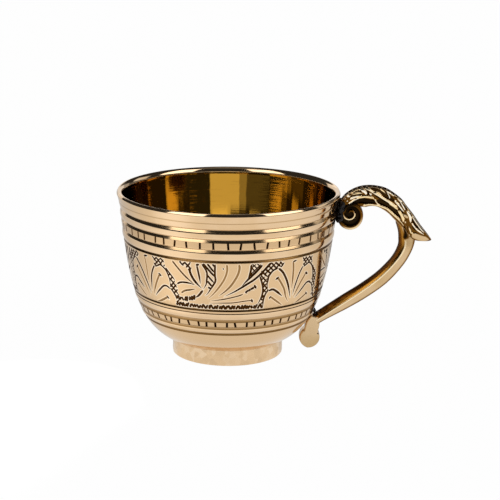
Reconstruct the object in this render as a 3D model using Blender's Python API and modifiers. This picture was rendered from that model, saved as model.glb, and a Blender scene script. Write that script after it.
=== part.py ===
"""Small coffee cup of polished brass: a turned bowl on a soldered foot ring, with one cast scroll handle.

Metres, +Z up. The cup stands on Z = 0 and the handle points along +X. Every piece is drawn about the bowl's own
axis. An empty then carries them all sideways, so that the origin lies under the middle of the whole cup.
"""

import math

import bmesh
import bpy
from mathutils import Vector

# Fits
SEAT_GAP = 0.0003          # space that soldered pieces keep to each other

# Bowl
CUP_HEIGHT = 0.0496        # table to the top of the lip
RIM_RADIUS = 0.0330        # outside of the lip
LIP_THICKNESS = 0.0014
LIP_FLARE = 0.0009         # how far the lip leans out past the foot of the collar
COLLAR_HEIGHT = 0.0046     # plain band under the lip
WALL = 0.0013
BASE_THICKNESS = 0.0016
WALL_LEAN = 0.0028         # how far the wall draws in on its way down to the belly
BELLY_HEIGHT = 0.0140
HIP_SPREAD = 0.0073        # how far the round bottom reaches out past the foot
HIP_HEIGHT = 0.0086
DOME_RISE = 0.0006         # sag of the underside inside the foot ring

# Turned rings, each groove as its middle and its width. What lies between two grooves is listed after them.
GROOVES_FROM_RIM = ((0.00505, 0.0009), (0.00795, 0.0007), (0.01060, 0.0010), (0.01375, 0.0005))
GROOVES_FROM_TABLE = ((0.01990, 0.00115), (0.01730, 0.0006), (0.01510, 0.00045), (0.01290, 0.0012))
LANDS = ("bead", "band", "bead", "frieze", "bead", "band", "bead")
GROOVE_DEPTH = 0.0004
BEAD_RISE = 0.0002

# Foot ring
FOOT_RADIUS = 0.0165
FOOT_HEIGHT = 0.0048
FOOT_FLARE = 0.0005        # lip of the ring under the bowl
FOOT_WALL = 0.0017
FOOT_CHAMFER = 0.0004
FOOT_FILLET = 0.0013       # leg of the solder in the inner corner

# Handle
SCROLL_DROP = 0.0075       # from the rim down to the eye of the scroll
SCROLL_RADIUS = 0.0040
SCROLL_DEPTH = 0.0060
SCROLL_HOLD = 185          # degrees of the roll that keep the outer radius
SCROLL_STRIP = 0.0013      # thickness of the rolled strip on its outer turn
SCROLL_SPACE = 0.0002      # between two turns of the strip
EYE_STRIP = 0.0009         # thickness of the rolled strip at the eye
SCROLL_RECESS = 0.0007     # depth of the hollow between two turns
LEAF_DEPTH = 0.0064        # width of the leaf across the handle
LEAF_FLUTE = 0.0006        # depth of the flute along each side of the leaf
ARM_DEPTH = 0.0050         # width of the plain arm across the handle
ARM_MIDDLE = 0.0041        # thickness of the plain arm
ARM_END = 0.0030           # thickness of the plain arm at its joint
SPUR_TIP = (0.0240, -0.0075)   # point of the leaf, from the eye of the scroll
SPUR_ROOT = 0.0060
LOBE_RADIUS = 0.0029
LOBE_HEIGHT = 0.0082       # height on the bowl that the lobe faces
LOBE_STANDOFF = 0.0011     # from the bowl to the lobe
NECK_WIDTH = 0.0042
NECK_TOUCH = 0.0104        # height at which the neck of the lobe leans on the bowl
ARM_JOINT = 0.0125         # height at which the arm reaches the bowl

# Centre line of the leaf, from the scroll to the plain arm: place from the eye of the scroll, and thickness
LEAF_STATIONS = (
    (-0.0030, 0.0002, 0.0019),
    (-0.0011, 0.0047, 0.0032),
    (0.0013, 0.0062, 0.0044),
    (0.0052, 0.0058, 0.0063),
    (0.0090, 0.0055, 0.0060),
    (0.0126, 0.0029, 0.0056),
    (0.0150, 0.0003, 0.0055),
    (0.0168, -0.0029, 0.0056),
    (0.0174, -0.0062, 0.0053),
)

# Solder
SIDE_SOLDER = 0.0009       # radius of the beads beside the scroll
SIDE_SOLDER_UP = 0.0048    # from the eye of the scroll to the top of a bead
SIDE_SOLDER_DOWN = 0.0022
ARM_SOLDER = 0.00045       # radius of the bead in the crook of the arm
ARM_SOLDER_LENGTH = 0.0032

# Facets
TURN_STEPS = 64
SECTION_STEPS = 3          # sections between two stations of the handle

# Sizes that follow from those above
COLLAR_RADIUS = RIM_RADIUS - LIP_FLARE
COLLAR_FOOT = CUP_HEIGHT - COLLAR_HEIGHT
LIP_MIDDLE = CUP_HEIGHT - LIP_THICKNESS / 2
SEAT_RADIUS = FOOT_RADIUS + FOOT_FLARE
FOOT_BORE = FOOT_RADIUS - FOOT_WALL


def bezier(points, t):
    """Point at t on the cubic curve with these four control points."""
    a, b, c, d = (Vector(point) for point in points)
    return (1 - t) ** 3 * a + 3 * (1 - t) ** 2 * t * b + 3 * (1 - t) * t ** 2 * c + t ** 3 * d


def body_point(t):
    """Radius and height on the smooth wall, from the foot of the collar (t = 0) to the foot ring (t = 1)."""
    return bezier((
        (COLLAR_RADIUS, COLLAR_FOOT),
        (COLLAR_RADIUS - WALL_LEAN, BELLY_HEIGHT),
        (SEAT_RADIUS + HIP_SPREAD, HIP_HEIGHT),
        (SEAT_RADIUS, FOOT_HEIGHT),
    ), t)


def body_share(height):
    """Where on the smooth wall, from 0 to 1, this height lies."""
    low, high = 0.0, 1.0
    for _ in range(40):
        middle = (low + high) / 2
        if body_point(middle).y > height:
            low = middle
        else:
            high = middle
    return (low + high) / 2


def body_normal(t):
    """Direction out of the smooth wall, as (radius, height)."""
    step = 0.001
    down = body_point(min(t + step, 1.0)) - body_point(max(t - step, 0.0))
    return Vector((-down.y, down.x)).normalized()


def wall_radius(height):
    """Outer radius of the bowl without its rings."""
    if height > COLLAR_FOOT:
        return COLLAR_RADIUS + LIP_FLARE * (height - COLLAR_FOOT) / (LIP_MIDDLE - COLLAR_FOOT)
    return body_point(body_share(height)).x


def off_wall(height, distance):
    """Point at a distance from the outside of the bowl, in the plane of the handle."""
    t = body_share(height)
    return body_point(t) + distance * body_normal(t)


def underside(radius):
    """Height of the bowl's underside inside the foot ring."""
    return FOOT_HEIGHT - DOME_RISE * (1 - (radius / SEAT_RADIUS) ** 2)


def groove_places():
    """Middle height and width of every groove, from the rim down."""
    return [(CUP_HEIGHT - drop, width) for drop, width in GROOVES_FROM_RIM] + list(GROOVES_FROM_TABLE)


def outer_profile():
    """Outside of the bowl from the lip to the middle of its underside."""
    grooves = groove_places()
    points = []
    for place, (height, width) in enumerate(grooves):
        top, bottom = height + width / 2, height - width / 2
        points.append((wall_radius(top), top))
        points.append((wall_radius(height) - GROOVE_DEPTH, height))
        points.append((wall_radius(bottom), bottom))
        if place == len(LANDS):
            break
        next_top = grooves[place + 1][0] + grooves[place + 1][1] / 2
        if LANDS[place] == "bead":
            middle = (bottom + next_top) / 2
            points.append((wall_radius(middle) + BEAD_RISE, middle))
        if LANDS[place] == "frieze":
            for share in (0.25, 0.5, 0.75):
                level = bottom + share * (next_top - bottom)
                points.append((wall_radius(level), level))
    last = body_share(points[-1][1])
    for share in (0.25, 0.5, 0.75, 1.0):
        points.append(tuple(body_point(last + share * (1 - last))))
    points.append((FOOT_BORE, underside(FOOT_BORE)))
    points.append((0.0, underside(0.0)))
    return points


def inner_profile():
    """Inside of the bowl from the middle of its floor up to the lip."""
    points = [(0.0, underside(0.0) + BASE_THICKNESS)]
    for share in (1.0, 0.9, 0.8, 0.7, 0.6, 0.45, 0.3, 0.15, 0.0):
        points.append(tuple(body_point(share) - WALL * body_normal(share)))
    return points


def lip_profile():
    """Round lip, from its inner side over the top to its outer side."""
    half = LIP_THICKNESS / 2
    return [
        (RIM_RADIUS - half - half * math.cos(angle), LIP_MIDDLE + half * math.sin(angle))
        for angle in (math.radians(36 * step) for step in range(6))
    ]


def clear_scene():
    for scene_object in list(bpy.data.objects):
        bpy.data.objects.remove(scene_object, do_unlink=True)


def new_collection(name):
    collection = bpy.data.collections.new(name)
    bpy.context.scene.collection.children.link(collection)
    return collection


def metal(name, colour, roughness):
    """Principled metal of one colour."""
    material = bpy.data.materials.new(name)
    material.use_nodes = True
    shader = material.node_tree.nodes["Principled BSDF"]
    shader.inputs["Base Color"].default_value = (*colour, 1.0)
    shader.inputs["Roughness"].default_value = roughness
    shader.inputs["Metallic"].default_value = 1.0
    material.diffuse_color = (*colour, 1.0)
    return material


def add_object(name, data, collection, material=None):
    """Link new data as a named object. Without a material it is a guide, which isn't part of the cup."""
    made = bpy.data.objects.new(name, data)
    collection.objects.link(made)
    if material:
        data.materials.append(material)
    else:
        made.hide_render = True
        made.display_type = "WIRE"
    return made


def turned(name, profile, collection, material, closed):
    """Turn a profile of (radius, height) points about Z."""
    mesh = bpy.data.meshes.new(name)
    edges = [(i, i + 1) for i in range(len(profile) - 1)]
    if closed:
        edges.append((len(profile) - 1, 0))
    mesh.from_pydata([(radius, 0.0, height) for radius, height in profile], edges, [])
    made = add_object(name, mesh, collection, material)
    screw = made.modifiers.new("turning", "SCREW")
    screw.axis = "Z"
    screw.steps = TURN_STEPS
    screw.render_steps = TURN_STEPS
    screw.use_merge_vertices = True
    screw.merge_threshold = 0.00001
    screw.use_smooth_shade = False
    return made


def loft(name, rings, collection, material=None):
    """Closed body through rings of points, which all have the same count."""
    shape = bmesh.new()
    rows = [[shape.verts.new(point) for point in ring] for ring in rings]
    for near, far in zip(rows, rows[1:]):
        for i, vertex in enumerate(near):
            j = (i + 1) % len(near)
            shape.faces.new((vertex, near[j], far[j], far[i]))
    shape.faces.new(list(reversed(rows[0])))
    shape.faces.new(rows[-1])
    bmesh.ops.recalc_face_normals(shape, faces=shape.faces)
    mesh = bpy.data.meshes.new(name)
    shape.to_mesh(mesh)
    shape.free()
    return add_object(name, mesh, collection, material)


def disc(name, middle, radius, depth, collection):
    """Round plate that lies across the handle, as a guide to be joined."""
    shape = bmesh.new()
    bmesh.ops.create_cone(shape, cap_ends=True, segments=28, radius1=radius, radius2=radius, depth=depth)
    mesh = bpy.data.meshes.new(name)
    shape.to_mesh(mesh)
    shape.free()
    made = add_object(name, mesh, collection)
    made.location = (middle.x, 0.0, middle.y)
    made.rotation_euler = (math.pi / 2, 0.0, 0.0)
    return made


def join(body, guide):
    """Add the guide's shape to the body."""
    union = body.modifiers.new(guide.name, "BOOLEAN")
    union.operation = "UNION"
    union.solver = "EXACT"
    union.object = guide


def smooth_rows(rows, steps):
    """Rows of numbers on a smooth curve through the given rows, with this many steps between two of them."""
    made = []
    for i in range(len(rows) - 1):
        before, start, end, after = (rows[max(0, min(k, len(rows) - 1))] for k in (i - 1, i, i + 1, i + 2))
        for step in range(steps):
            t = step / steps
            made.append(tuple(
                0.5 * (2 * p1 + (p2 - p0) * t + (2 * p0 - 5 * p1 + 4 * p2 - p3) * t ** 2
                       + (3 * p1 - p0 - 3 * p2 + p3) * t ** 3)
                for p0, p1, p2, p3 in zip(before, start, end, after)
            ))
    return made + [tuple(rows[-1])]


def across(rings):
    """Turn flat rings, each a middle, an outward direction and points (outward, sideways), into rings in space."""
    return [
        [(middle.x + out * n.x, side, middle.y + out * n.y) for out, side in points]
        for middle, n, points in rings
    ]


def directions(middles):
    """Outward direction at each middle: to the left of the way along them."""
    found = []
    for i in range(len(middles)):
        along = middles[min(i + 1, len(middles) - 1)] - middles[max(i - 1, 0)]
        found.append(Vector((-along.y, along.x)).normalized())
    return found


def bar_points(thickness, depth, bevel, flute):
    """Section of the handle: flat sides with a flute, and a bevel that narrows the side towards the finger."""
    half = depth / 2
    side = (
        (0.50 * thickness, 0.12 * half),
        (0.46 * thickness, 0.60 * half),
        (0.34 * thickness, half),
        (0.20 * thickness, half),
        (0.08 * thickness, half - flute),
        (-0.04 * thickness, half),
        (-0.50 * thickness, half * (1 - 0.6 * bevel)),
    )
    return side + tuple((out, -y) for out, y in reversed(side))


def handle_rows(eye):
    """Stations of the handle from the scroll to the lobe: place, thickness, depth, bevel and flute."""
    rows = []
    last = len(LEAF_STATIONS) - 1
    for i, (right, up, thickness) in enumerate(LEAF_STATIONS):
        swell = math.sin(math.pi * i / last)
        depth = ARM_DEPTH + (LEAF_DEPTH - ARM_DEPTH) * swell
        rows.append((eye.x + right, eye.y + up, thickness, depth, 0.4, LEAF_FLUTE * swell))
    leaf_end = Vector(rows[-1][:2])
    joint = off_wall(ARM_JOINT, 2 * SEAT_GAP + 2 * ARM_SOLDER + ARM_END / 2)
    neck = off_wall(NECK_TOUCH, SEAT_GAP + NECK_WIDTH / 2)
    lobe = off_wall(LOBE_HEIGHT, LOBE_STANDOFF + LOBE_RADIUS)
    sweep = (joint - leaf_end).length
    curve = (
        leaf_end,
        leaf_end + 0.30 * sweep * Vector((-0.15, -1.0)).normalized(),
        joint + 0.37 * sweep * Vector((0.84, 0.54)).normalized(),
        joint,
    )
    for share, thickness in ((0.12, 1.2 * ARM_MIDDLE), (0.3, 1.06 * ARM_MIDDLE), (0.5, ARM_MIDDLE),
                             (0.75, ARM_MIDDLE), (1.0, ARM_END)):
        place = bezier(curve, share)
        rows.append((place.x, place.y, thickness, ARM_DEPTH, 1.0 if share < 1 else 0.6, 0.0))
    rows.append((neck.x, neck.y, NECK_WIDTH, ARM_DEPTH, 0.0, 0.0))
    rows.append((lobe.x, lobe.y, 1.4 * LOBE_RADIUS, ARM_DEPTH, 0.0, 0.0))
    return rows, lobe


def arm_rings(rows):
    smooth = smooth_rows(rows, SECTION_STEPS)
    middles = [Vector(row[:2]) for row in smooth]
    return across([
        (middle, out, bar_points(row[2], row[3], row[4], max(row[5], 0.0)))
        for middle, out, row in zip(middles, directions(middles), smooth)
    ])


def scroll_rings(eye):
    """Rolled strip, from the side of the bowl under the scroll and round to its eye."""
    hold = math.radians(SCROLL_HOLD)
    outer = SCROLL_RADIUS - SCROLL_STRIP / 2
    inner = 0.6 * EYE_STRIP
    draw = (SCROLL_STRIP + SCROLL_SPACE) / (2 * math.pi - hold)
    whole = hold + (outer - inner) / draw
    count = math.ceil(whole / math.radians(15))
    half = SCROLL_DEPTH / 2
    rows = []
    for i in range(count + 1):
        turn = whole * i / count
        reach = outer - draw * max(0.0, turn - hold)
        strip = SCROLL_STRIP + (EYE_STRIP - SCROLL_STRIP) * i / count
        edge = half - strip / 4
        out = Vector((math.cos(math.pi + turn), math.sin(math.pi + turn)))
        side = ((strip / 2, edge), (strip / 4, half), (-strip / 4, half), (-strip / 2, edge))
        rows.append((eye + reach * out, out, side + tuple((to, -y) for to, y in reversed(side))))
    return across(rows)


def spur_rings(eye):
    """Point of the leaf, which leaves the arm and narrows to its tip."""
    tip = eye + Vector(SPUR_TIP)
    root = eye + Vector(LEAF_STATIONS[-2][:2]) + Vector((-0.0004, -0.0008))
    rows = []
    for share, thickness, depth in (
            (0.0, 1.0, 0.82), (0.3, 0.95, 0.74), (0.55, 0.70, 0.55), (0.8, 0.35, 0.33), (1.0, 0.06, 0.1)):
        place = root.lerp(tip, share) + Vector((0.0, 0.0004 * math.sin(math.pi * share)))
        rows.append((place, thickness * SPUR_ROOT, depth * LEAF_DEPTH))
    outs = directions([row[0] for row in rows])
    return across([
        (place, out, bar_points(thickness, depth, 0.3, 0.0))
        for (place, thickness, depth), out in zip(rows, outs)
    ])


def bead(name, points, radius, collection, material):
    """Drawn-out drop of solder along a line of points."""
    curve = bpy.data.curves.new(name, "CURVE")
    curve.dimensions = "3D"
    curve.bevel_depth = radius
    curve.bevel_resolution = 2
    curve.use_fill_caps = True
    spline = curve.splines.new("POLY")
    spline.points.add(len(points) - 1)
    for i, place in enumerate(points):
        spline.points[i].co = (*place, 1.0)
        spline.points[i].radius = 0.45 + 0.55 * math.sin(math.pi * i / (len(points) - 1))
    return add_object(name, curve, collection, material)


def side_solder_line(eye, side):
    """Corner between the scroll and the bowl, on one side of the handle."""
    y = side * (SCROLL_DEPTH / 2 + SEAT_GAP + SIDE_SOLDER)
    points = []
    for i in range(7):
        height = eye.y - SIDE_SOLDER_DOWN + i / 6 * (SIDE_SOLDER_DOWN + SIDE_SOLDER_UP)
        reach = wall_radius(height) + BEAD_RISE + SEAT_GAP + SIDE_SOLDER
        points.append((math.sqrt(reach ** 2 - y ** 2), y, height))
    return points


def build():
    clear_scene()
    cup = new_collection("coffee_cup")
    guides = new_collection("guides")

    turned("bowl", inner_profile() + lip_profile() + outer_profile(), cup,
           metal("bowl_brass", (0.80, 0.56, 0.28), 0.12), closed=False)

    ring_top = FOOT_HEIGHT - SEAT_GAP
    turned("foot_ring", [
        (SEAT_RADIUS, ring_top),
        (FOOT_RADIUS, ring_top - FOOT_FLARE),
        (FOOT_RADIUS, FOOT_CHAMFER),
        (FOOT_RADIUS - FOOT_CHAMFER, 0.0),
        (FOOT_BORE + FOOT_CHAMFER, 0.0),
        (FOOT_BORE, FOOT_CHAMFER),
        (FOOT_BORE, underside(FOOT_BORE) - SEAT_GAP),
    ], cup, metal("foot_brass", (0.72, 0.50, 0.26), 0.3), closed=True)

    fillet_outer = FOOT_BORE - SEAT_GAP
    fillet_inner = fillet_outer - FOOT_FILLET
    fillet_top = underside(fillet_outer) - SEAT_GAP
    turned("foot_solder", [
        (fillet_outer, fillet_top),
        (fillet_outer, fillet_top - FOOT_FILLET),
        (fillet_inner, underside(fillet_inner) - SEAT_GAP),
    ], cup, metal("foot_solder_grey", (0.20, 0.16, 0.12), 0.5), closed=True)

    eye_height = CUP_HEIGHT - SCROLL_DROP
    eye = Vector((wall_radius(eye_height) + BEAD_RISE + SEAT_GAP + SCROLL_RADIUS, eye_height))
    rows, lobe = handle_rows(eye)
    handle = loft("handle", arm_rings(rows), cup, metal("handle_brass", (0.76, 0.52, 0.26), 0.2))
    join(handle, loft("scroll", scroll_rings(eye), guides))
    join(handle, disc("scroll_core", eye, SCROLL_RADIUS - SCROLL_STRIP / 2, SCROLL_DEPTH - 2 * SCROLL_RECESS, guides))
    join(handle, loft("spur", spur_rings(eye), guides))
    join(handle, disc("lobe", lobe, LOBE_RADIUS, ARM_DEPTH + 0.0002, guides))

    black = metal("solder_black", (0.04, 0.032, 0.025), 0.5)
    bead("scroll_solder_front", side_solder_line(eye, -1), SIDE_SOLDER, cup, black)
    bead("scroll_solder_back", side_solder_line(eye, 1), SIDE_SOLDER, cup, black.copy())
    crook = off_wall(ARM_JOINT + ARM_SOLDER, SEAT_GAP + ARM_SOLDER)
    bead("arm_solder", [
        (crook.x, share * ARM_SOLDER_LENGTH, crook.y) for share in (-0.5, -0.3, 0.0, 0.3, 0.5)
    ], ARM_SOLDER, cup, black.copy())

    axis = bpy.data.objects.new("bowl_axis", None)
    cup.objects.link(axis)
    axis.location.x = (RIM_RADIUS - eye.x - SPUR_TIP[0]) / 2
    for piece in list(cup.objects) + list(guides.objects):
        if piece is not axis:
            piece.parent = axis


build()
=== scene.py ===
"""Looks of a small brass coffee cup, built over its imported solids.

Shapes are written in millimetres about the bowl's own axis. Angles on the bowl run from the side that faces the
camera, and grow towards the handle.
"""

import math
import random

import bmesh
import bpy
import numpy as np
from mathutils import Euler, Matrix, Vector, geometry, noise


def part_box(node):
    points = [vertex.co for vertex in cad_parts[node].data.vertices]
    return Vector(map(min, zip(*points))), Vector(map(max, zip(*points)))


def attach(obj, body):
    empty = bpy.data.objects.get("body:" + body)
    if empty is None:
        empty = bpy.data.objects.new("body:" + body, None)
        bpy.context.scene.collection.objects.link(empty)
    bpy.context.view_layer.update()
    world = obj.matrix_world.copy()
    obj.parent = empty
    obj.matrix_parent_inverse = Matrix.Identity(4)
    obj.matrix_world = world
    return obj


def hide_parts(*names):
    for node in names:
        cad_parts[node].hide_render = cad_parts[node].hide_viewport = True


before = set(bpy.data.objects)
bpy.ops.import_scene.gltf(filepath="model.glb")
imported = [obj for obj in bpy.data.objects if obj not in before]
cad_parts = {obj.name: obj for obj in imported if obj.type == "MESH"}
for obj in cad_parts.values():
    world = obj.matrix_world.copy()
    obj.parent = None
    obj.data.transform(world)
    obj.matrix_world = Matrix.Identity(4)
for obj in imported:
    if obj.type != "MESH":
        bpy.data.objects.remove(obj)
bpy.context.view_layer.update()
BOWL_LOW, BOWL_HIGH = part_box("bowl")
AXIS = (BOWL_LOW.x + BOWL_HIGH.x) / 2      # the bowl's axis in the frame, in metres
MM = 0.001

# Bowl
RIM_RADIUS = 33.0
COLLAR_RISE = 3.9           # height over which the collar leans out to the rim
LIP = ((31.08, 46.6), (31.17, 47.6), (31.20, 48.20), (31.26, 48.50), (31.45, 48.90), (31.68, 49.22),
       (31.95, 49.44), (32.25, 49.56), (32.50, 49.60), (32.65, 49.53), (32.79, 49.33), (33.01, 48.90),
       (33.02, 48.66), (32.93, 48.40))      # radius and height over the lip
LIP_FOOT = 48.15            # height where the inside turns into the lip
RIM_WALL, FOOT_WALL = 1.15, 1.3
FLOOR = 5.8                 # height of the inside at the middle
FOOT_HEIGHT = 4.8
SEAT_RADIUS = 17.0
UNDER_BULGE = 0.6           # how far the underside hangs down at the middle
WALL_CURVE = ((32.1, 45.0), (29.3, 14.0), (24.3, 8.6), (17.0, 4.8))
COLLAR_LINE = (46.75, 0.16, 0.10, 0.4)  # scored line on the collar: height, width, depth and dirt
BEAD_EDGE_HIGHLIGHT, BEAD_EDGE = 0.38, 0.15          # how much brighter a bead's edges are painted, a painted highlight, and their share of its width
GROOVE_FLOOR = 0.25         # where a groove is deepest, as a share of its width
LOWER_PAINTED_SHADE, UNDERSIDE_DARKENING = 0.09, 0.2          # darker below the rings, a painted shade, and darker on the underside
COLUMNS = 144               # faces round the bowl
MERGE = 0.0004              # points this close become one
BATCH = 6000                # points measured at a time, to spare memory

# Turned rings of the outside, from the collar down: lower edge, form, depth or rise, and how much darker it is
# painted, dirt and painted shade
RINGS = (
    (45.05, "collar", 0.0, 0.0),
    (43.92, "groove", 0.52, 0.25), (42.15, "bead", 0.16, 0.0), (40.95, "groove", 0.52, 0.25),
    (39.10, "band", 0.0, 0.21), (38.02, "groove", 0.50, 0.30), (35.90, "bead", 0.18, 0.0),
    (35.05, "groove", 0.44, 0.75),
    (20.75, "frieze", 0.0, 0.11),
    (20.05, "groove", 0.34, 0.85), (19.50, "band", 0.0, 0.1), (19.18, "groove", 0.22, 0.95),
    (17.55, "bead", 0.14, 0.0), (16.50, "groove", 0.34, 0.50), (15.05, "band", 0.0, 0.15),
    (13.95, "groove", 0.36, 0.50), (12.90, "bead", 0.12, 0.0), (12.05, "groove", 0.40, 0.75),
)
ROWS = {"collar": 26, "groove": 12, "bead": 10, "band": 5, "frieze": 24}

# Chiselled bands: middle height, number of cuts, and their length
CHISELLED = ((40.02, 53, 1.95), (15.78, 60, 1.75))
CHISEL_HALF, CHISEL_DEPTH = 0.32, 0.34
CHISEL_LEAN, CHISEL_UNEVEN = 0.2, 0.14      # lean in radians, and stray as a share of the spacing

# Engraved frieze, drawn flat on a roll of this radius
ROLL = 30.0
FRIEZE_TOP, FRIEZE_FOOT = 35.05, 20.75
FRIEZE_LEVELS = 13          # rows of points between the cuts
CUT_MARGIN, LINE_MARGIN = 0.15, 0.02        # room at the top and foot of the frieze
BOLD, PLAIN, FAINT, THIN = 0.35, 0.29, 0.30, 0.21     # half widths of the cuts
DARKNESS = {BOLD: 1.0, PLAIN: 0.95, FAINT: 0.48, THIN: 0.40}
LINE_ENDS, HATCH_ENDS, ROW_ENDS = (0.5, 0.38), (0.25, 0.25), (0.1, 0.15)     # how cuts run out, as taper takes it
ROW_HALF = 0.36             # half width of the short strokes in rows
SHAKE = 0.06                # how far the points of a cut stray
BURIN_SLOPE = 0.5           # depth of a cut against its half width
SHALLOWEST = 0.004          # a cut this deep is dark
CUT_HIGHLIGHT_WIDTH = 0.22                 # width of the painted highlight beside a cut, along the edge that the burin turns up
CUT_HIGHLIGHT_SHINE = 0.72           # how much brighter than the land that painted highlight is
PALMETTES_AT = (-48.0, 39.6, 132.0, 222.0)  # degrees
SWIRLS_AT = (-3.0, 87.0, 177.0, 267.0)
HATCH_SPACE, SHORTEST_HATCH = 1.12, 0.5     # between strokes of hatching, and the shortest of them

# Lines of a palmette and of a swirled leaf: weight, then points (along the frieze, height)
PALMETTE = (
    (FAINT, (-1.1, 34.2), (-0.75, 31.7), (-0.6, 28.0), (-0.5, 25.7)),
    (PLAIN, (-1.4, 34.2), (0.3, 34.5)),
    (BOLD, (-5.9, 32.8), (-4.4, 31.5), (-3.1, 29.5), (-2.0, 27.2), (-1.1, 25.0), (-0.4, 22.8)),
    (PLAIN, (2.9, 32.2), (1.9, 30.5), (1.1, 28.5), (0.6, 26.2), (0.2, 23.7)),
    (FAINT, (-5.8, 30.0), (-4.4, 28.0), (-3.1, 26.0), (-2.1, 23.7), (-1.1, 21.8)),
    (BOLD, (-5.4, 30.3), (-6.6, 29.3)),
    (FAINT, (4.5, 29.7), (2.9, 27.2), (1.6, 24.7), (0.8, 22.8)),
    (BOLD, (4.1, 30.1), (5.4, 29.2)),
    (BOLD, (-8.4, 26.3), (-7.1, 26.5), (-5.4, 25.5), (-3.4, 23.9)),
    (PLAIN, (7.9, 25.8), (6.9, 26.5), (5.6, 26.4), (4.1, 25.2), (2.6, 23.7), (1.4, 22.5)),
    (FAINT, (-7.6, 24.4), (-5.4, 22.7), (-2.9, 21.0)),
    (PLAIN, (-7.3, 24.7), (-8.0, 23.7)),
    (FAINT, (6.5, 23.0), (4.6, 22.0), (2.9, 21.2), (1.6, 20.8)),
    (BOLD, (6.1, 23.6), (7.1, 22.5)),
    (PLAIN, (3.0, 31.9), (4.4, 32.6), (5.4, 32.7), (6.9, 31.5), (7.8, 29.7), (8.1, 28.0), (7.9, 26.3)),
    (PLAIN, (7.9, 26.2), (8.9, 25.0), (9.5, 23.7), (9.6, 22.5)),
    (PLAIN, (-5.9, 32.9), (-7.6, 32.3), (-8.6, 30.9), (-8.9, 29.5), (-9.0, 28.0), (-8.4, 26.9)),
    (PLAIN, (-8.4, 26.8), (-9.4, 25.2), (-9.8, 23.4), (-9.6, 20.9)),
)
# Grounds cut with hatching: angles and half width of the strokes, then the outline
CROSSED = (0.85, -0.85)
PALMETTE_GROUND = (
    (CROSSED, 0.27, (2.3, 35.3), (6.6, 35.3), (6.9, 32.4), (5.4, 32.7), (4.4, 32.6), (3.0, 31.9)),
    (CROSSED, 0.27, (6.9, 32.4), (9.4, 29.7), (10.3, 28.1), (10.5, 26.0), (10.9, 23.6), (10.2, 21.6), (9.3, 21.8),
     (9.5, 23.7), (8.9, 25.0), (7.9, 26.2), (8.1, 28.0), (8.0, 29.7), (7.0, 31.2)),
    (CROSSED, 0.28, (-10.9, 32.6), (-8.1, 35.3), (-3.9, 35.3), (-4.4, 33.2), (-5.9, 33.0), (-7.6, 32.3),
     (-8.6, 30.8), (-9.6, 30.3)),
    (CROSSED, 0.24, (-10.9, 32.6), (-9.6, 30.3), (-8.8, 30.0), (-9.0, 28.0), (-8.4, 26.8), (-9.4, 25.2),
     (-9.8, 23.5), (-9.6, 20.8), (-11.6, 20.8), (-10.9, 23.0), (-10.4, 25.2), (-10.6, 27.2), (-10.1, 28.0),
     (-11.2, 30.5)),
)
SWIRL = (
    (FAINT, (-14.2, 34.7), (-12.2, 32.5), (-10.2, 30.5), (-8.2, 28.8), (-7.5, 28.0)),
    (BOLD, (-8.7, 33.2), (-8.6, 32.0), (-8.0, 30.2), (-6.7, 28.5), (-5.5, 27.2)),
    (PLAIN, (-6.7, 34.2), (-6.3, 32.5), (-6.0, 30.5), (-5.9, 28.5)),
    (BOLD, (-7.1, 34.2), (-6.0, 34.6)),
    (PLAIN, (-5.2, 34.9), (-4.2, 33.0), (-3.9, 31.5), (-4.0, 29.7), (-4.2, 28.5), (-5.2, 27.0)),
    (PLAIN, (-1.5, 35.0), (-1.7, 31.7), (-1.5, 29.7), (-2.5, 28.0), (-4.0, 25.7), (-4.7, 25.0)),
    (PLAIN, (-13.2, 27.7), (-12.0, 28.4), (-10.2, 28.6), (-8.5, 28.4), (-7.5, 28.0)),
    (FAINT, (-12.0, 25.2), (-10.7, 26.0), (-9.0, 26.5), (-7.2, 27.0)),
    (BOLD, (-5.2, 26.7), (-6.5, 25.0), (-7.7, 24.2)),
    (FAINT, (1.6, 35.2), (1.8, 33.0), (1.0, 30.2), (-0.7, 27.5), (-2.7, 25.2), (-4.0, 24.2)),
    (FAINT, (5.0, 35.2), (5.1, 33.5), (4.5, 31.2), (3.0, 28.7), (1.3, 26.7), (-0.7, 25.2)),
    (BOLD, (11.5, 34.5), (9.8, 32.5), (7.8, 30.5), (5.9, 28.4)),
    (PLAIN, (8.3, 34.7), (8.1, 32.5), (7.6, 30.5)),
    (BOLD, (14.0, 35.0), (11.5, 32.2), (9.5, 30.2), (7.3, 28.7), (4.0, 26.7), (1.0, 25.0)),
    (THIN, (6.5, 25.7), (4.5, 25.2), (0.8, 24.2), (-3.2, 23.5)),
    (THIN, (9.3, 23.7), (7.0, 23.6), (3.3, 23.2), (-0.5, 23.0), (-3.5, 22.7)),
    (BOLD, (9.3, 28.5), (10.3, 27.2)),
    (BOLD, (9.0, 24.2), (9.4, 23.0)),
    (PLAIN, (11.0, 31.0), (12.0, 28.0), (12.0, 25.5), (11.3, 23.0), (10.5, 21.7)),
    (PLAIN, (0.7, 33.9), (0.7, 33.2)),
)
SWIRL_GROUND = (
    (CROSSED, 0.28, (-12.6, 35.1), (-8.4, 35.2), (-8.2, 31.0), (-9.4, 32.6), (-11.0, 34.0)),
    ((-0.9,), 0.30, (-5.3, 35.1), (-1.4, 35.1), (-1.7, 31.7), (-1.4, 29.7), (-2.5, 28.0), (-4.0, 25.8),
     (-3.7, 28.0), (-3.9, 31.5), (-4.2, 33.0)),
    ((0.8, -0.9), 0.21, (8.1, 35.2), (11.0, 35.2), (11.5, 34.5), (9.3, 32.0), (7.6, 30.3), (8.0, 32.5)),
)
# Rows of short strokes beside a swirled leaf: stroke length, spacing, and the line that they follow
SWIRL_ROWS = (
    (1.60, 0.74, ((-14.2, 21.6), (0.0, 21.6), (13.0, 21.6))),
    (1.60, 0.80, ((-13.7, 23.8), (-12.5, 23.4), (-9.7, 23.7), (-7.0, 24.7))),
    (0.80, 0.55, ((9.3, 27.7), (6.6, 26.0))),
)

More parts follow.
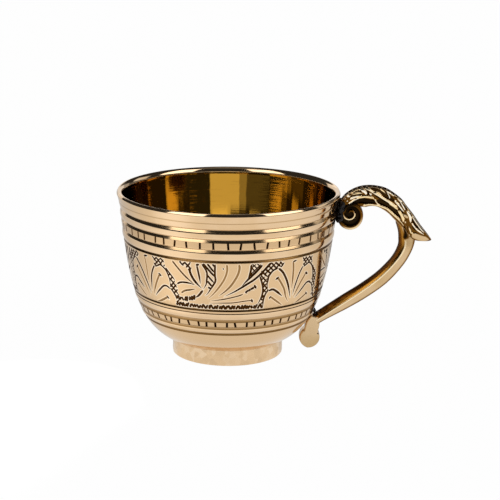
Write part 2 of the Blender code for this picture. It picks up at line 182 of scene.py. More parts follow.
# Foot ring
FOOT_RADIUS = 16.5
FOOT_BORE = 14.8
FOOT_TOP = 5.4              # hidden in the metal of the bowl
FOOT_COLUMNS = 300
COVE_WIDTH, COVE_HEIGHT, COVE_FOOT = 1.1, 1.3, 4.0
FOOT_ROUND = 0.4            # radius of its lower edges
FOOT_FILLET, FILLET_COLUMNS = 1.45, 160     # leg of the solder inside it, and faces round it
HAMMER_CELL = 1.7           # width of a hammer mark
HAMMER_DEPTH = 0.22
HAMMER_FOOT, HAMMER_TOP = 0.1, 3.7          # heights of the hammered wall

# Handle, in its own plane: distances out from the axis of the bowl, and heights
EYE = (36.32, 42.10)        # middle of the scroll
SCROLL_DEPTH = 6.0
ARM_DEPTH = 5.0
LOBE_RADIUS, LOBE_HEIGHT, LOBE_STANDOFF = 3.12, 7.9, 1.4
NECK_WIDTH, NECK_TOUCH = 4.2, 10.4
TONGUE_ROOT = (11.9, 1.5, 2.4)          # start of the lobe's tongue: height, distance off the wall, width
SCROLL_CORE = ((-1.9, 2.9), (-1.75, 3.3), (1.75, 3.3), (1.9, 2.9))      # its core, painted black as the shade inside the scroll: place across, and radius
# Rolled strip of the scroll: place, thickness, and how dark it is painted: above 0 painted shade, below 0 a
# painted highlight
SCROLL = (
    (32.75, 44.0, 1.1, 1.0), (32.75, 42.0, 1.2, 1.0), (33.3, 40.2, 1.25, 0.8), (34.6, 39.1, 1.25, 0.15),
    (36.2, 38.8, 1.25, -0.4), (37.8, 39.4, 1.2, -0.4), (38.9, 40.8, 1.15, 0.05), (39.25, 42.6, 1.1, 0.5),
    (38.8, 44.3, 1.1, 0.65), (37.5, 45.5, 1.05, 0.8), (35.8, 45.6, 1.0, 1.0), (34.4, 44.8, 1.0, 1.0),
    (33.8, 43.4, 0.95, 0.7), (34.3, 42.1, 0.9, -0.5), (35.4, 41.5, 0.9, -0.7), (36.6, 41.8, 0.85, -0.7),
    (37.2, 42.8, 0.8, -0.5), (36.8, 43.8, 0.75, 0.4), (35.9, 44.0, 0.7, 0.7), (35.4, 43.4, 0.6, 0.8),
)
# Leaf and spur: place on the back, place on the inner side, and width
LEAF = (
    (32.5, 43.2, 34.0, 42.4, 5.0), (32.9, 45.9, 35.2, 44.6, 4.7), (34.3, 48.0, 36.4, 45.3, 4.4),
    (36.3, 49.6, 38.2, 45.2, 4.2), (38.9, 50.7, 40.2, 44.9, 4.1), (41.5, 51.05, 42.0, 45.2, 4.0),
    (44.0, 50.85, 43.8, 45.05, 4.0), (46.4, 50.25, 45.6, 44.2, 4.1), (48.8, 48.85, 47.2, 43.1, 4.3),
    (51.2, 46.95, 48.7, 41.6, 4.5), (52.6, 45.15, 50.0, 40.3, 4.8), (53.8, 43.65, 51.2, 39.2, 5.0),
    (55.0, 42.15, 52.4, 38.0, 5.0), (56.2, 40.4, 53.2, 36.6, 4.9), (57.4, 38.75, 54.2, 35.4, 4.7),
    (58.5, 37.4, 55.8, 34.85, 3.9), (59.4, 36.3, 57.5, 34.65, 3.2), (60.0, 35.55, 59.0, 34.55, 1.9),
    (60.4, 35.0, 60.1, 34.6, 0.7),
)
# Arm: place, thickness, width, and where its ridge lies across it
ARM = (
    (51.5, 41.0, 4.2, 3.6, -0.20), (52.6, 38.2, 4.7, 3.8, -0.20), (53.0, 35.6, 4.9, 4.2, -0.16),
    (52.45, 32.4, 4.25, 4.9, -0.12), (50.3, 28.3, 3.95, 5.0, -0.18), (46.0, 23.4, 4.1, 5.0, -0.20),
    (40.75, 19.3, 4.05, 5.0, -0.16), (35.5, 15.9, 3.9, 5.0, -0.10), (31.0, 13.1, 3.4, 5.0, -0.05),
    (28.6, 11.6, 3.1, 5.0, -0.02), (26.6, 10.3, 3.0, 5.0, 0.0), (25.6, 9.6, 2.8, 4.9, 0.0),
)

# Chasing on both faces of the leaf, in the order of work: half width, rise, soot, and points in the handle's
# plane. Soot above 0 paints dark oxide and shade in the hollows, below 0 a highlight.
KNUCKLE = ((52.1, 40.0), (52.3, 39.2), (52.5, 38.2), (52.55, 37.2), (52.4, 36.0))
CHASE_ENDS = (0.7, 0.25)    # how the strokes run out, as taper takes it
CHASE_CROWN = 1.6           # over 1, the strokes have flat tops and floors
LEAF_FACE = (-0.10, 0.67)   # the plain face behind the chasing: rise, and soot that paints it dark brown, dark oxide and painted shade
LEAF_BACK = (0.6, 1.5)      # back of the leaf, painted black as a painted shade: width of its edges and space between its veins, which stay bright
LEAF_CHASING = (
    (0.80, -0.80, 1.0, (36.6, 45.6), (37.6, 46.5), (39.0, 46.9), (40.5, 46.75), (42.0, 46.5), (43.4, 46.3),
     (44.6, 46.5)),
    (0.75, -0.70, 0.9, (43.6, 47.0), (44.8, 46.6), (46.0, 46.1), (47.3, 45.4), (48.6, 44.4), (49.8, 43.2),
     (50.8, 41.9)),
    (0.80, -0.50, 0.85, (41.0, 51.0), (42.6, 50.6), (44.2, 50.0), (45.6, 49.3), (46.8, 48.4), (48.0, 47.6),
     (49.0, 46.9)),
    (0.50, 0.05, 0.05, (51.5, 43.1), (52.3, 42.6), (53.0, 41.9)),
    (1.05, 0.05, 0.03, (54.4, 37.2), (55.2, 36.6), (56.6, 35.9), (58.2, 35.4), (59.6, 35.1)),
    (0.20, -0.40, 1.0, (35.8, 48.1), (36.9, 48.5), (38.0, 48.8), (39.4, 48.85)),
    (0.22, -0.45, 1.0, (39.6, 50.7), (40.4, 50.2), (40.95, 49.7), (41.1, 49.1), (41.45, 48.6), (42.1, 48.4)),
    (0.18, -0.40, 1.0, (41.6, 49.7), (42.6, 49.05), (43.6, 48.4), (44.6, 47.75), (45.6, 47.1), (46.6, 46.5)),
    (0.16, -0.45, 1.0, (50.2, 46.9), (50.8, 46.0), (51.3, 45.0)),
    (0.20, -0.45, 1.0, (49.9, 45.5), (50.5, 44.7), (51.1, 43.9), (51.6, 43.3)),
    (0.22, -0.45, 1.0, (53.9, 42.2), (54.4, 41.2), (55.0, 40.2), (55.7, 39.3), (56.5, 38.4), (57.4, 37.6)),
    (0.14, -0.30, 0.9, (54.1, 39.7), (54.8, 38.9), (55.6, 38.2)),
    (0.60, -0.90, 1.0, *KNUCKLE),
    (0.16, -0.30, 0.9, (53.3, 36.8), (54.0, 36.0), (54.4, 35.4)),
    (0.20, -0.30, 1.0, (52.4, 41.7), (52.6, 41.4)),
    (0.32, 0.05, 0.10, (36.0, 49.05), (37.1, 49.4), (38.2, 49.5), (39.2, 49.5)),
    (0.26, 0.08, -0.35, (36.2, 48.75), (37.4, 49.0), (38.6, 49.2), (39.4, 49.25)),
    (0.54, 0.22, -1.0, (33.9, 48.0), (34.4, 48.5), (35.2, 49.2), (36.0, 49.8), (36.8, 50.2), (37.9, 50.5),
     (38.6, 50.4), (39.2, 50.15)),
    (0.57, 0.20, -1.0, (38.8, 50.3), (39.6, 49.95), (40.15, 49.6), (40.4, 49.2), (40.3, 48.75)),
    (0.32, 0.15, -0.8, (39.5, 51.4), (39.35, 50.95), (39.1, 50.45)),
    (0.38, 0.12, -0.9, (35.65, 47.25), (36.5, 47.75), (37.4, 48.15), (38.4, 48.3), (39.2, 48.5)),
    (0.40, 0.15, -1.0, (34.8, 48.05), (35.8, 48.4)),
    (0.32, 0.15, -1.0, (34.0, 47.35), (34.5, 47.65)),
    (0.28, 0.15, -1.0, (34.7, 46.6), (35.2, 47.05)),
    (0.43, 0.15, -0.5, (37.6, 47.75), (39.2, 48.05), (40.2, 48.2), (41.4, 48.1), (42.4, 47.8), (43.0, 47.45)),
    (0.27, 0.10, -0.85, (35.1, 45.35), (35.5, 46.0), (36.2, 46.5), (36.9, 47.05), (37.75, 47.45), (38.6, 47.65)),
    (0.40, 0.15, -0.95, (41.35, 49.4), (42.1, 48.6)),
    (0.26, 0.10, -0.8, (42.9, 47.5), (43.35, 46.9), (43.7, 46.4), (44.05, 46.05), (44.6, 45.6)),
    (0.35, 0.10, -0.6, (39.1, 45.3), (39.6, 45.05), (40.2, 45.6), (41.0, 45.8), (42.1, 45.8), (43.35, 45.65),
     (44.6, 45.4), (45.8, 45.0), (46.9, 44.5), (47.9, 43.65), (48.9, 42.8), (50.0, 41.8), (51.0, 40.7),
     (51.9, 39.5)),
    (0.59, 0.20, -0.35, (47.0, 46.7), (48.2, 45.9), (49.3, 45.1), (49.9, 44.3)),
    (0.44, 0.30, -0.75, (39.5, 51.0), (40.4, 50.7), (41.4, 50.3), (42.3, 49.7), (43.2, 49.15), (44.2, 48.6),
     (45.1, 48.0), (46.1, 47.4), (47.1, 46.8), (48.0, 46.2), (48.95, 45.6), (49.6, 45.0)),
    (0.55, 0.20, -0.55, (49.95, 44.25), (50.5, 43.6), (51.0, 42.9), (51.4, 42.2), (51.6, 41.5), (51.6, 40.7)),
    (0.36, 0.15, -0.7, (52.1, 41.0), (52.3, 40.4)),
    (0.28, 0.10, -0.8, (43.5, 51.0), (44.4, 50.55)),
    (0.21, 0.08, -0.5, (44.0, 50.8), (44.8, 50.25), (45.6, 49.7), (46.2, 49.2)),
    (0.18, 0.08, -0.4, (42.4, 49.5), (43.4, 49.6), (44.4, 49.2), (45.2, 48.6)),
    (0.38, 0.15, -0.95, (46.05, 50.5), (46.8, 49.85), (47.55, 49.5), (48.3, 48.9), (48.8, 48.4)),
    (0.28, 0.12, -0.9, (46.6, 49.6), (47.1, 48.85), (47.4, 48.1), (47.35, 47.6)),
    (0.35, 0.15, -0.95, (49.6, 48.1), (50.5, 47.2), (51.0, 46.3), (51.5, 45.45), (51.9, 44.7), (52.0, 44.2)),
    (0.38, 0.15, -0.95, (48.9, 47.4), (49.4, 46.5)),
    (0.32, 0.12, -0.9, (49.1, 46.8), (49.9, 46.1), (50.4, 45.5), (50.95, 44.8), (51.4, 44.2), (51.8, 43.85)),
    (0.51, 0.15, -0.9, (52.6, 44.2), (53.15, 43.35), (53.6, 42.4), (53.75, 41.5), (53.8, 40.6)),
    (0.32, 0.15, -1.0, (54.2, 42.7), (54.85, 41.7), (55.4, 40.85), (55.95, 40.1), (56.65, 39.1), (57.3, 38.2),
     (57.95, 37.5)),
    (0.27, 0.12, -0.9, (54.05, 40.5), (54.7, 39.75), (55.35, 38.9), (56.15, 38.15), (57.15, 37.45), (57.95, 36.8)),
    (0.26, 0.10, -0.6, (53.35, 39.4), (53.7, 38.4), (54.15, 37.5), (54.9, 37.15)),
    (0.23, 0.10, -0.6, (53.45, 36.95), (53.75, 36.5)),
)

# Solder
SOLDER_VOXEL = 0.16         # size of its faces
SOLDER_ROUGH = 0.35         # height of its pits and bumps
SCROLL_DROPS, CROOK_DROPS = (0.35, 0.75), (0.22, 0.42)      # smallest and largest drops
SIDE_DROPS = 90             # drops on either side of the scroll
SIDE_START, SIDE_SPAN = 0.9, 5.0            # how far below its eye they start, and the height that they cover
CROOK = (12.9, 0.7)         # height and distance off the wall

# Studio: height of the white horizon in degrees, brightness of the ceiling, and soft boxes as strength, middle and
# half width round from the camera's side, low and high, in degrees
HORIZON = 3.0
CEILING = 0.03
FLOOR_BEHIND = 0.64         # brightness of the floor behind the cup, as the metal sees it
BEHIND = (65.0, 140.0)      # degrees to either side between which it dims
FLOOR_POOL = 0.22           # extra light on the floor by the left soft box
POOL_LEFT, POOL_HALF = 53.0, 34.0           # degrees to the left, and half width
POOL_EDGE = (0.020, 0.060)  # metres from the axis between which it grows, and over which a painted shadow near the cup fades out
FLOOR_GLOW = 0.985          # share of the floor that glows, the rest takes the shadow
SOFT_BOXES = ((2.2, -47.0, 21.0, 25.0, 60.0), (2.2, 66.0, 22.0, 25.0, 60.0), (0.87, -161.0, 23.0, -5.0, 20.5),
              (1.2, -160.0, 18.0, 14.0, 20.5), (0.87, 169.5, 12.5, -5.0, 15.0), (0.12, 168.0, 12.0, 13.0, 21.0),
              (0.40, 149.0, 8.0, -5.0, 14.5), (0.12, 115.0, 26.0, 3.0, 14.0),
              (0.8, 120.0, 13.0, 15.0, 32.0), (0.25, 0.0, 180.0, 74.0, 91.0))
BOX_EDGE = 1.2              # half width of the soft edge of a box, in degrees

# Camera, fitted to the ellipses of the rim and the foot: place from the foot of the bowl's axis, and turns
LENS, SENSOR = 117.73, 36.0
CAMERA_AT = (6.486, -471.68, 154.44)
CAMERA_DIP, CAMERA_ROLL = 0.2559, 0.0112

# Colours of the metal
PALE_BRASS = (0.795, 0.570, 0.350)
WARM_BRASS = (0.745, 0.515, 0.290)
# The next two colours paint highlights: beside cuts, on bead edges, on bright hammer flats, and the whiter one on
# the leaf and the arm's ridge.
BRIGHT_BRASS = (0.900, 0.680, 0.450)
WHITE_HIGHLIGHT_BRASS = (1.000, 0.920, 0.760)
# Brown for dirt and dark oxide, and for painted shade on the lower bowl, in grooves and round the handle's root.
BROWN_BRASS = (0.300, 0.165, 0.055)
INSIDE_BRASS = (0.780, 0.560, 0.190)
FOOT_BRASS = (0.825, 0.580, 0.340)
# Darker hammer flats, a painted sheen.
FLAT_BRASS = (0.680, 0.475, 0.275)
HANDLE_BRASS = (0.690, 0.495, 0.285)
HANDLE_WARM = (0.610, 0.420, 0.210)
# Painted highlights on the handle.
HANDLE_GOLD = (0.950, 0.720, 0.380)
# The handle's brown and black paint dark oxide in its hollows, and painted shade.
HANDLE_BROWN = (0.190, 0.076, 0.007)
# Amber painted on the arm's bevel, a painted reflection.
PAINTED_AMBER_REFLECTION = (0.350, 0.160, 0.022)
# Black for dark oxide in cuts, and painted shade in the darkest grooves.
BLACK_OXIDE_AND_SHADE = (0.066, 0.024, 0.003)
HANDLE_BLACK_AND_SHADE = (0.018, 0.010, 0.004)
# Marks in the metal, by their count in a metre
CLOUDS, WAVES, STAIN_FRINGE, FLAT_FRINGE = 110.0, 260.0, 300.0, 900.0
SOOT_SPECKS, SOOT_PITS, LUMP_PITS = 700.0, 2500.0, 900.0
# Dark patch round the handle's root: partly a heat stain, partly painted shade and reflection of the handle and
# solder.
STAIN_AND_HANDLE_SHADE = ((32.5, 0.0, 43.2), (11.5, 11.5, 4.5))         # middle from the axis, and reach


def smooth_line(points, step):
    """Points about a step apart on a smooth curve through the given points."""
    points = np.array(points, float)
    made = []
    for i in range(len(points) - 1):
        p0, p1, p2, p3 = (points[min(max(k, 0), len(points) - 1)] for k in (i - 1, i, i + 1, i + 2))
        count = max(1, math.ceil(np.linalg.norm(p2[:2] - p1[:2]) / step))
        for t in np.arange(count) / count:
            made.append(0.5 * (2 * p1 + (p2 - p0) * t + (2 * p0 - 5 * p1 + 4 * p2 - p3) * t ** 2
                               + (3 * p1 - p0 - 3 * p2 + p3) * t ** 3))
    return np.array(made + [points[-1]])


def unit(rows):
    return rows / np.linalg.norm(rows, axis=1)[:, None]


def left_of(line):
    """Unit direction to the left of the way along a flat line, at each of its points."""
    along = unit(np.gradient(line, axis=0))
    return np.stack((-along[:, 1], along[:, 0]), axis=1)


def run_along(line):
    """Length of a line up to each of its points."""
    return np.append(0.0, np.cumsum(np.linalg.norm(np.diff(line, axis=0), axis=1)))


def look_up(places, steps, rows):
    """Rows of a table, read between its steps."""
    return np.stack([np.interp(places, steps, column) for column in rows.T], axis=-1)


def to_line(points, line):
    """Distance from each point to a flat line, and the place on the line as a count of its points."""
    start, run = line[:-1], np.diff(line, axis=0)
    share = np.einsum("ijk,jk->ij", points[:, None] - start, run) / np.maximum((run ** 2).sum(1), 1e-12)
    share = np.clip(share, 0.0, 1.0)
    gap = np.linalg.norm(points[:, None] - start - share[:, :, None] * run, axis=2)
    best = gap.argmin(1)
    rows = np.arange(len(points))
    return gap[rows, best], best + share[rows, best]


def body_point(t):
    """Radius and height on the smooth outer wall, from the collar (0) to the foot (1)."""
    a, b, c, d = (np.array(point) for point in WALL_CURVE)
    return (1 - t) ** 3 * a + 3 * (1 - t) ** 2 * t * b + 3 * (1 - t) * t ** 2 * c + t ** 3 * d


def body_normal(t):
    down = body_point(min(t + 0.001, 1.0)) - body_point(max(t - 0.001, 0.0))
    return np.array((-down[1], down[0])) / np.linalg.norm(down)


WALL_TABLE = np.array([body_point(t) for t in np.linspace(0.0, 1.0, 400)])


def wall_place(height):
    """Place on the smooth outer wall, from the collar (0) to the foot (1)."""
    return float(np.interp(height, WALL_TABLE[::-1, 1], np.linspace(1.0, 0.0, len(WALL_TABLE))))


def off_wall(height, distance):
    """Point at a distance from the outside of the bowl, in the plane of the handle."""
    t = wall_place(height)
    return body_point(t) + distance * body_normal(t)


def wall_radius(height):
    """Outer radius of the bowl without its rings."""
    radius, foot = WALL_CURVE[0]
    collar = radius + (RIM_RADIUS - radius) * (height - foot) / COLLAR_RISE
    body = np.interp(height, WALL_TABLE[::-1, 1], WALL_TABLE[::-1, 0])
    return np.where(np.asarray(height) > foot, collar, body)


def ring_rows(top, bottom, form, size, dirt_and_shade):
    """Radius, height and darkness down one turned ring, its lower edge left to the next ring. Darkness is dirt and
    painted shade, and below 0 a painted highlight.
    """
    rows = []
    for s in np.arange(ROWS[form]) / ROWS[form]:
        height = top - s * (top - bottom)
        rise, dark = 0.0, dirt_and_shade
        if form == "bead":
            rise = size * (1 - (2 * s - 1) ** 2)
            # A bead's edges are painted brighter, a painted highlight.
            dark = -BEAD_EDGE_HIGHLIGHT * max(0.0, 1 - min(s, 0.92 - s) / BEAD_EDGE)
        if form == "groove":
            steep = min(s / GROOVE_FLOOR, 1.0)
            rise = -size * steep * steep * (3 - 2 * steep) * min(1.0, (1 - s) / (1 - GROOVE_FLOOR))
            # A groove is painted darker into its lower part, dirt and painted shade.
            dark = dirt_and_shade * min(1.0, 0.35 + s)
        if form == "collar":
            at, width, depth, soil = COLLAR_LINE
            scored = math.exp(-((height - at) / width) ** 2)
            rise, dark = -depth * scored, soil * scored
        rows.append((float(wall_radius(height)) + rise, height, dark))
    return rows


def bowl_profile():
    """Radius, height and darkness, dirt and painted shade, from the middle of the inside, over the lip and down to
    the middle of the underside.

    Also gives the rows whose faces the engraved frieze takes, and the row where the inside ends in the lip.
    """
    inside = []
    for t in np.linspace(0.985, 0.0, 40):
        deep = max(0.0, (t - 0.3) / 0.7)
        inside.append(body_point(t) - (RIM_WALL + (FOOT_WALL - RIM_WALL) * deep * deep) * body_normal(t))
    edge = inside[0]
    floor = [(edge[0] * s, FLOOR + (edge[1] - FLOOR) * s ** 3) for s in (0.0, 0.25, 0.5, 0.7, 0.85, 0.95)]
    lip = smooth_line(LIP, 0.12)
    outside = []
    top = lip[-1][1] - 0.1
    for bottom, form, size, dirt_and_shade in RINGS:
        if form == "frieze":
            frieze_row = len(floor) + len(inside) + len(lip) + len(outside)
        outside += ring_rows(top, bottom, form, size, dirt_and_shade)
        top = bottom
    lower = [body_point(t) for t in np.linspace(wall_place(top), 1.0, 26)]
    under = [(r, FOOT_HEIGHT - UNDER_BULGE * (1 - (r / SEAT_RADIUS) ** 2))
             for r in (16.0, 14.0, 11.0, 7.0, 3.0, 0.0)]

    def with_dirt_and_shade(rows, dirt_and_shade):
        return [(*row, dirt_and_shade) for row in rows]

    # Below the rings the bowl is painted darker, a painted shade, and the underside darker still.
    profile = with_dirt_and_shade([*floor, *inside, *lip], 0.0) + outside + with_dirt_and_shade(lower, LOWER_PAINTED_SHADE) + with_dirt_and_shade(under, UNDERSIDE_DARKENING)
    lip_row = len(floor) + len(inside) + int((lip[:, 1] > LIP_FOOT).argmax())
    return np.array(profile), range(frieze_row, frieze_row + ROWS["frieze"]), lip_row


def around(radius, height, angle):
    return np.stack((radius * np.sin(angle), -radius * np.cos(angle), height + 0 * angle), axis=-1)


def turned_mesh(profile, columns, left_open=()):
    """Points and faces of a profile turned about the axis. Its ends may be on the axis, and rows left open."""
    points, first, faces = [], [], []
    angles = -math.pi + 2 * math.pi * np.arange(columns) / columns
    for radius, height in profile:
        first.append(len(points))
        points += [(0.0, 0.0, height)] if radius < 1e-6 else list(around(radius, height, angles))
    for i in range(len(profile) - 1):
        if i in left_open:
            continue
        low, high = first[i], first[i + 1]
        for k in range(columns):
            n = (k + 1) % columns
            if profile[i][0] < 1e-6:
                faces.append((low, high + k, high + n))
            elif profile[i + 1][0] < 1e-6:
                faces.append((low + k, high, low + n))
            else:
                faces.append((low + k, high + k, high + n, low + n))
    return points, faces


def loft_mesh(rings, closed=False):
    """Points and faces of a body through rings of the same count. It ends in caps, or closes on itself."""
    rings = np.array(rings)
    count, size = rings.shape[:2]
    points, faces = list(rings.reshape(-1, 3)), []
    for i in range(count if closed else count - 1):
        a, b = i * size, (i + 1) % count * size
        faces += [(a + k, a + (k + 1) % size, b + (k + 1) % size, b + k) for k in range(size)]
    if not closed:
        points += [rings[0].mean(0), rings[-1].mean(0)]
        last = (count - 1) * size
        for k in range(size):
            n = (k + 1) % size
            faces += [(count * size, n, k), (count * size + 1, last + k, last + n)]
    return points, faces


def make_piece(name, points, faces, material, merge=True, outwards=False):
    """Object from points in millimetres, still about the bowl's axis."""
    mesh = bpy.data.meshes.new(name)
    mesh.from_pydata((np.array(points) * MM).tolist(), [], [tuple(int(v) for v in face) for face in faces])
    shape = bmesh.new()
    shape.from_mesh(mesh)
    if merge:
        bmesh.ops.remove_doubles(shape, verts=shape.verts, dist=MERGE * MM)
        bmesh.ops.delete(shape, geom=[v for v in shape.verts if not v.link_faces], context="VERTS")
    if outwards:
        bmesh.ops.recalc_face_normals(shape, faces=shape.faces)
    shape.to_mesh(mesh)
    shape.free()
    mesh.polygons.foreach_set("use_smooth", np.full(len(mesh.polygons), True))
    mesh.materials.append(material)
    piece = bpy.data.objects.new(name, mesh)
    bpy.context.scene.collection.objects.link(piece)
    return piece


def place_piece(piece, nodes):
    """Carry a finished piece to the bowl's place in the frame and let it stand for CAD nodes."""
    piece.data.transform(Matrix.Translation((AXIS, 0.0, 0.0)))
    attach(piece, "root")
    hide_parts(*nodes)


class Wire:
    """Output of a node. Sums with wires add Math nodes to their tree."""

    def __init__(self, tree, socket):
        self.tree, self.socket = tree, socket

    def __getitem__(self, output):
        """Another output of the same node."""
        return Wire(self.tree, self.socket.node.outputs[output])

    def sum(self, operation, *values):
        return sum_node(self.tree, operation, self, *values)

    def __add__(self, other):
        return self.sum("ADD", other)

    def __sub__(self, other):
        return self.sum("SUBTRACT", other)

    def __mul__(self, other):
        return self.sum("MULTIPLY", other)

    def __truediv__(self, other):
        return self.sum("DIVIDE", other)

    def ranged(self, low, high, start=0.0, end=1.0):
        """Value between low and high mapped smoothly to the span from start to end."""
        return add_node(self.tree, "ShaderNodeMapRange", {0: self, 1: low, 2: high, 3: start, 4: end},
                        interpolation_type="SMOOTHSTEP")


def set_inputs(node, values):
    """Link or set inputs of a node by name or place."""
    for key, value in values.items():
        socket = node.inputs[key]
        if isinstance(value, Wire):
            value.tree.links.new(value.socket, socket)
        else:
            socket.default_value = (*value, 1.0) if socket.type == "RGBA" else value


def add_node(tree, kind, inputs=None, **settings):
    """Add a node with its settings and inputs, and give its first output."""
    made = tree.nodes.new(kind)
    for key, value in settings.items():
        setattr(made, key, value)
    set_inputs(made, inputs or {})
    return Wire(tree, made.outputs[0])


def sum_node(tree, operation, *values):
    return add_node(tree, "ShaderNodeMath", dict(enumerate(values)), operation=operation)


def vector_sum(tree, operation, *values):
    return add_node(tree, "ShaderNodeVectorMath", dict(enumerate(values)), operation=operation)


def vector_node(tree, *parts):
    return add_node(tree, "ShaderNodeCombineXYZ", dict(enumerate(parts)))


def noise_node(tree, spot, scale, detail=3.0, stretch=None):
    if stretch:
        spot = add_node(tree, "ShaderNodeMapping", {"Vector": spot, "Scale": stretch})
    return add_node(tree, "ShaderNodeTexNoise", {"Vector": spot, "Scale": scale, "Detail": detail})


def mix_colour(factor, a, b):
    return add_node(factor.tree, "ShaderNodeMix", {0: factor, 6: a, 7: b}, data_type="RGBA")[2]


def geometry_tree(name, *inputs):
    """New Geometry Nodes tree, with inputs listed as a kind and their names. Gives the tree and its input."""
    tree = bpy.data.node_groups.new(name, "GeometryNodeTree")
    tree.interface.new_socket("Geometry", in_out="OUTPUT", socket_type="NodeSocketGeometry")
    for kind, *labels in (("Geometry", "Geometry"), *inputs, ("Material", "Metal")):
        for label in labels:
            tree.interface.new_socket(label, in_out="INPUT", socket_type="NodeSocket" + kind)
    return tree, Wire(tree, tree.nodes.new("NodeGroupInput").outputs[0])


def end_tree(tree, shape, given):
    """Finish a Geometry Nodes tree with plain geometry in the given metal."""
    whole = add_node(tree, "GeometryNodeRealizeInstances", {"Geometry": shape})
    ended = add_node(tree, "GeometryNodeSetMaterial", {"Geometry": whole, "Material": given["Metal"]})
    set_inputs(tree.nodes.new("NodeGroupOutput"), {0: ended})
    return tree


def push_out(tree, shape, distance):
    """Move a surface along its normals."""
    normal = add_node(tree, "GeometryNodeInputNormal")
    away = add_node(tree, "ShaderNodeVectorMath", {0: normal, "Scale": distance}, operation="SCALE")
    return add_node(tree, "GeometryNodeSetPosition", {"Geometry": shape, "Offset": away})


def chance_node(tree, low, high, seed):
    """Random value for each point or part."""
    return add_node(tree, "FunctionNodeRandomValue", {2: low, 3: high, "Seed": seed})[1]


def run_tree(piece, tree, values):
    """Run a Geometry Nodes tree on a piece with these inputs, and keep the result as its plain mesh."""
    modifier = piece.modifiers.new(tree.name, "NODES")
    modifier.node_group = tree
    for item in tree.interface.items_tree:
        if item.in_out == "INPUT" and item.name in values:
            modifier[item.identifier] = values[item.name]
    graph = bpy.context.evaluated_depsgraph_get()
    made = bpy.data.meshes.new_from_object(piece.evaluated_get(graph))
    piece.modifiers.remove(modifier)
    made.name = piece.name
    piece.data = made


def chisel_tree():
    """Row of chisel cuts round the bowl, each leaning a little differently."""
    tree, given = geometry_tree("chisel_row", ("Int", "Cuts", "Seed"), (
        "Float", "Radius", "Height", "Length", "Half Width", "Depth", "Tilt", "Lean", "Unevenness"))
    uneven, lean, radius = given["Unevenness"], given["Lean"], given["Radius"]
    shift = chance_node(tree, uneven * -1.0, uneven, given["Seed"])
    turn = (add_node(tree, "GeometryNodeInputIndex") + shift) * (2 * math.pi) / given["Cuts"]
    spot = vector_node(tree, turn.sum("SINE") * radius, turn.sum("COSINE") * (radius * -1.0), given["Height"])
    row = add_node(tree, "GeometryNodePoints", {"Count": given["Cuts"], "Position": spot})
    heading = vector_node(tree, chance_node(tree, lean * -1.0, lean, given["Seed"] + 1), given["Tilt"],
                          turn - math.pi / 2)
    blade = add_node(tree, "GeometryNodeMeshCylinder", {"Vertices": 4, "Radius": 1.0, "Depth": 1.0})
    size = vector_node(tree, given["Depth"], given["Half Width"], given["Length"])
    blades = add_node(tree, "GeometryNodeInstanceOnPoints", {
        "Points": row, "Instance": blade, "Rotation": heading, "Scale": size})
    solid = add_node(tree, "GeometryNodeRealizeInstances", {"Geometry": blades})
    cut = add_node(tree, "GeometryNodeMeshBoolean", {0: given, 1: solid}, operation="DIFFERENCE",
                   solver="MANIFOLD")
    return end_tree(tree, cut, given)


def taper(line, half, head, tail):
    """Half widths along a cut that runs out to a point at both ends, over a head length and a tail share."""
    run = run_along(line)
    length = run[-1]
    return half * np.minimum(1.0, run / head) ** 0.6 * np.minimum(1.0, (length - run) / (tail * length)) ** 0.7


def hatch(outline, angle, rng):
    """Parallel strokes that cross an outlined ground at this angle."""
    outline = np.array(outline)
    way = np.array((math.cos(angle), math.sin(angle)))
    off = np.array((-way[1], way[0]))
    strokes = []
    levels = outline @ off
    level = levels.min() + 0.5 * HATCH_SPACE
    while level < levels.max():
        meets = []
        for a, b in zip(outline, np.roll(outline, -1, axis=0)):
            da, db = a @ off - level, b @ off - level
            if da * db < 0:
                meets.append((a + (b - a) * da / (da - db)) @ way)
        meets.sort()
        for near, far in zip(meets[::2], meets[1::2]):
            if far - near > SHORTEST_HATCH:
                wobble = rng.uniform(-0.08, 0.08)
                strokes.append([way * near + off * (level + wobble), way * far + off * (level - wobble)])
        level += HATCH_SPACE * rng.uniform(0.85, 1.15)
    return strokes


def row_strokes(length, space, line, rng):
    """Short strokes across a line, leaning to either side."""
    path = smooth_line(line, 0.1)
    run, sides = run_along(path), left_of(path)
    strokes = []
    for k in range(int(run[-1] / space)):
        at = (k + 0.5 + rng.uniform(-0.15, 0.15)) * space
        middle, side = look_up(at, run, path), look_up(at, run, sides)
        along = np.array((side[1], -side[0]))
        reach = 0.5 * length * rng.uniform(0.75, 1.15) * (side + along * rng.choice((-0.5, 0.35, 0.5)))
        strokes.append([middle - reach, middle + reach])
    return strokes


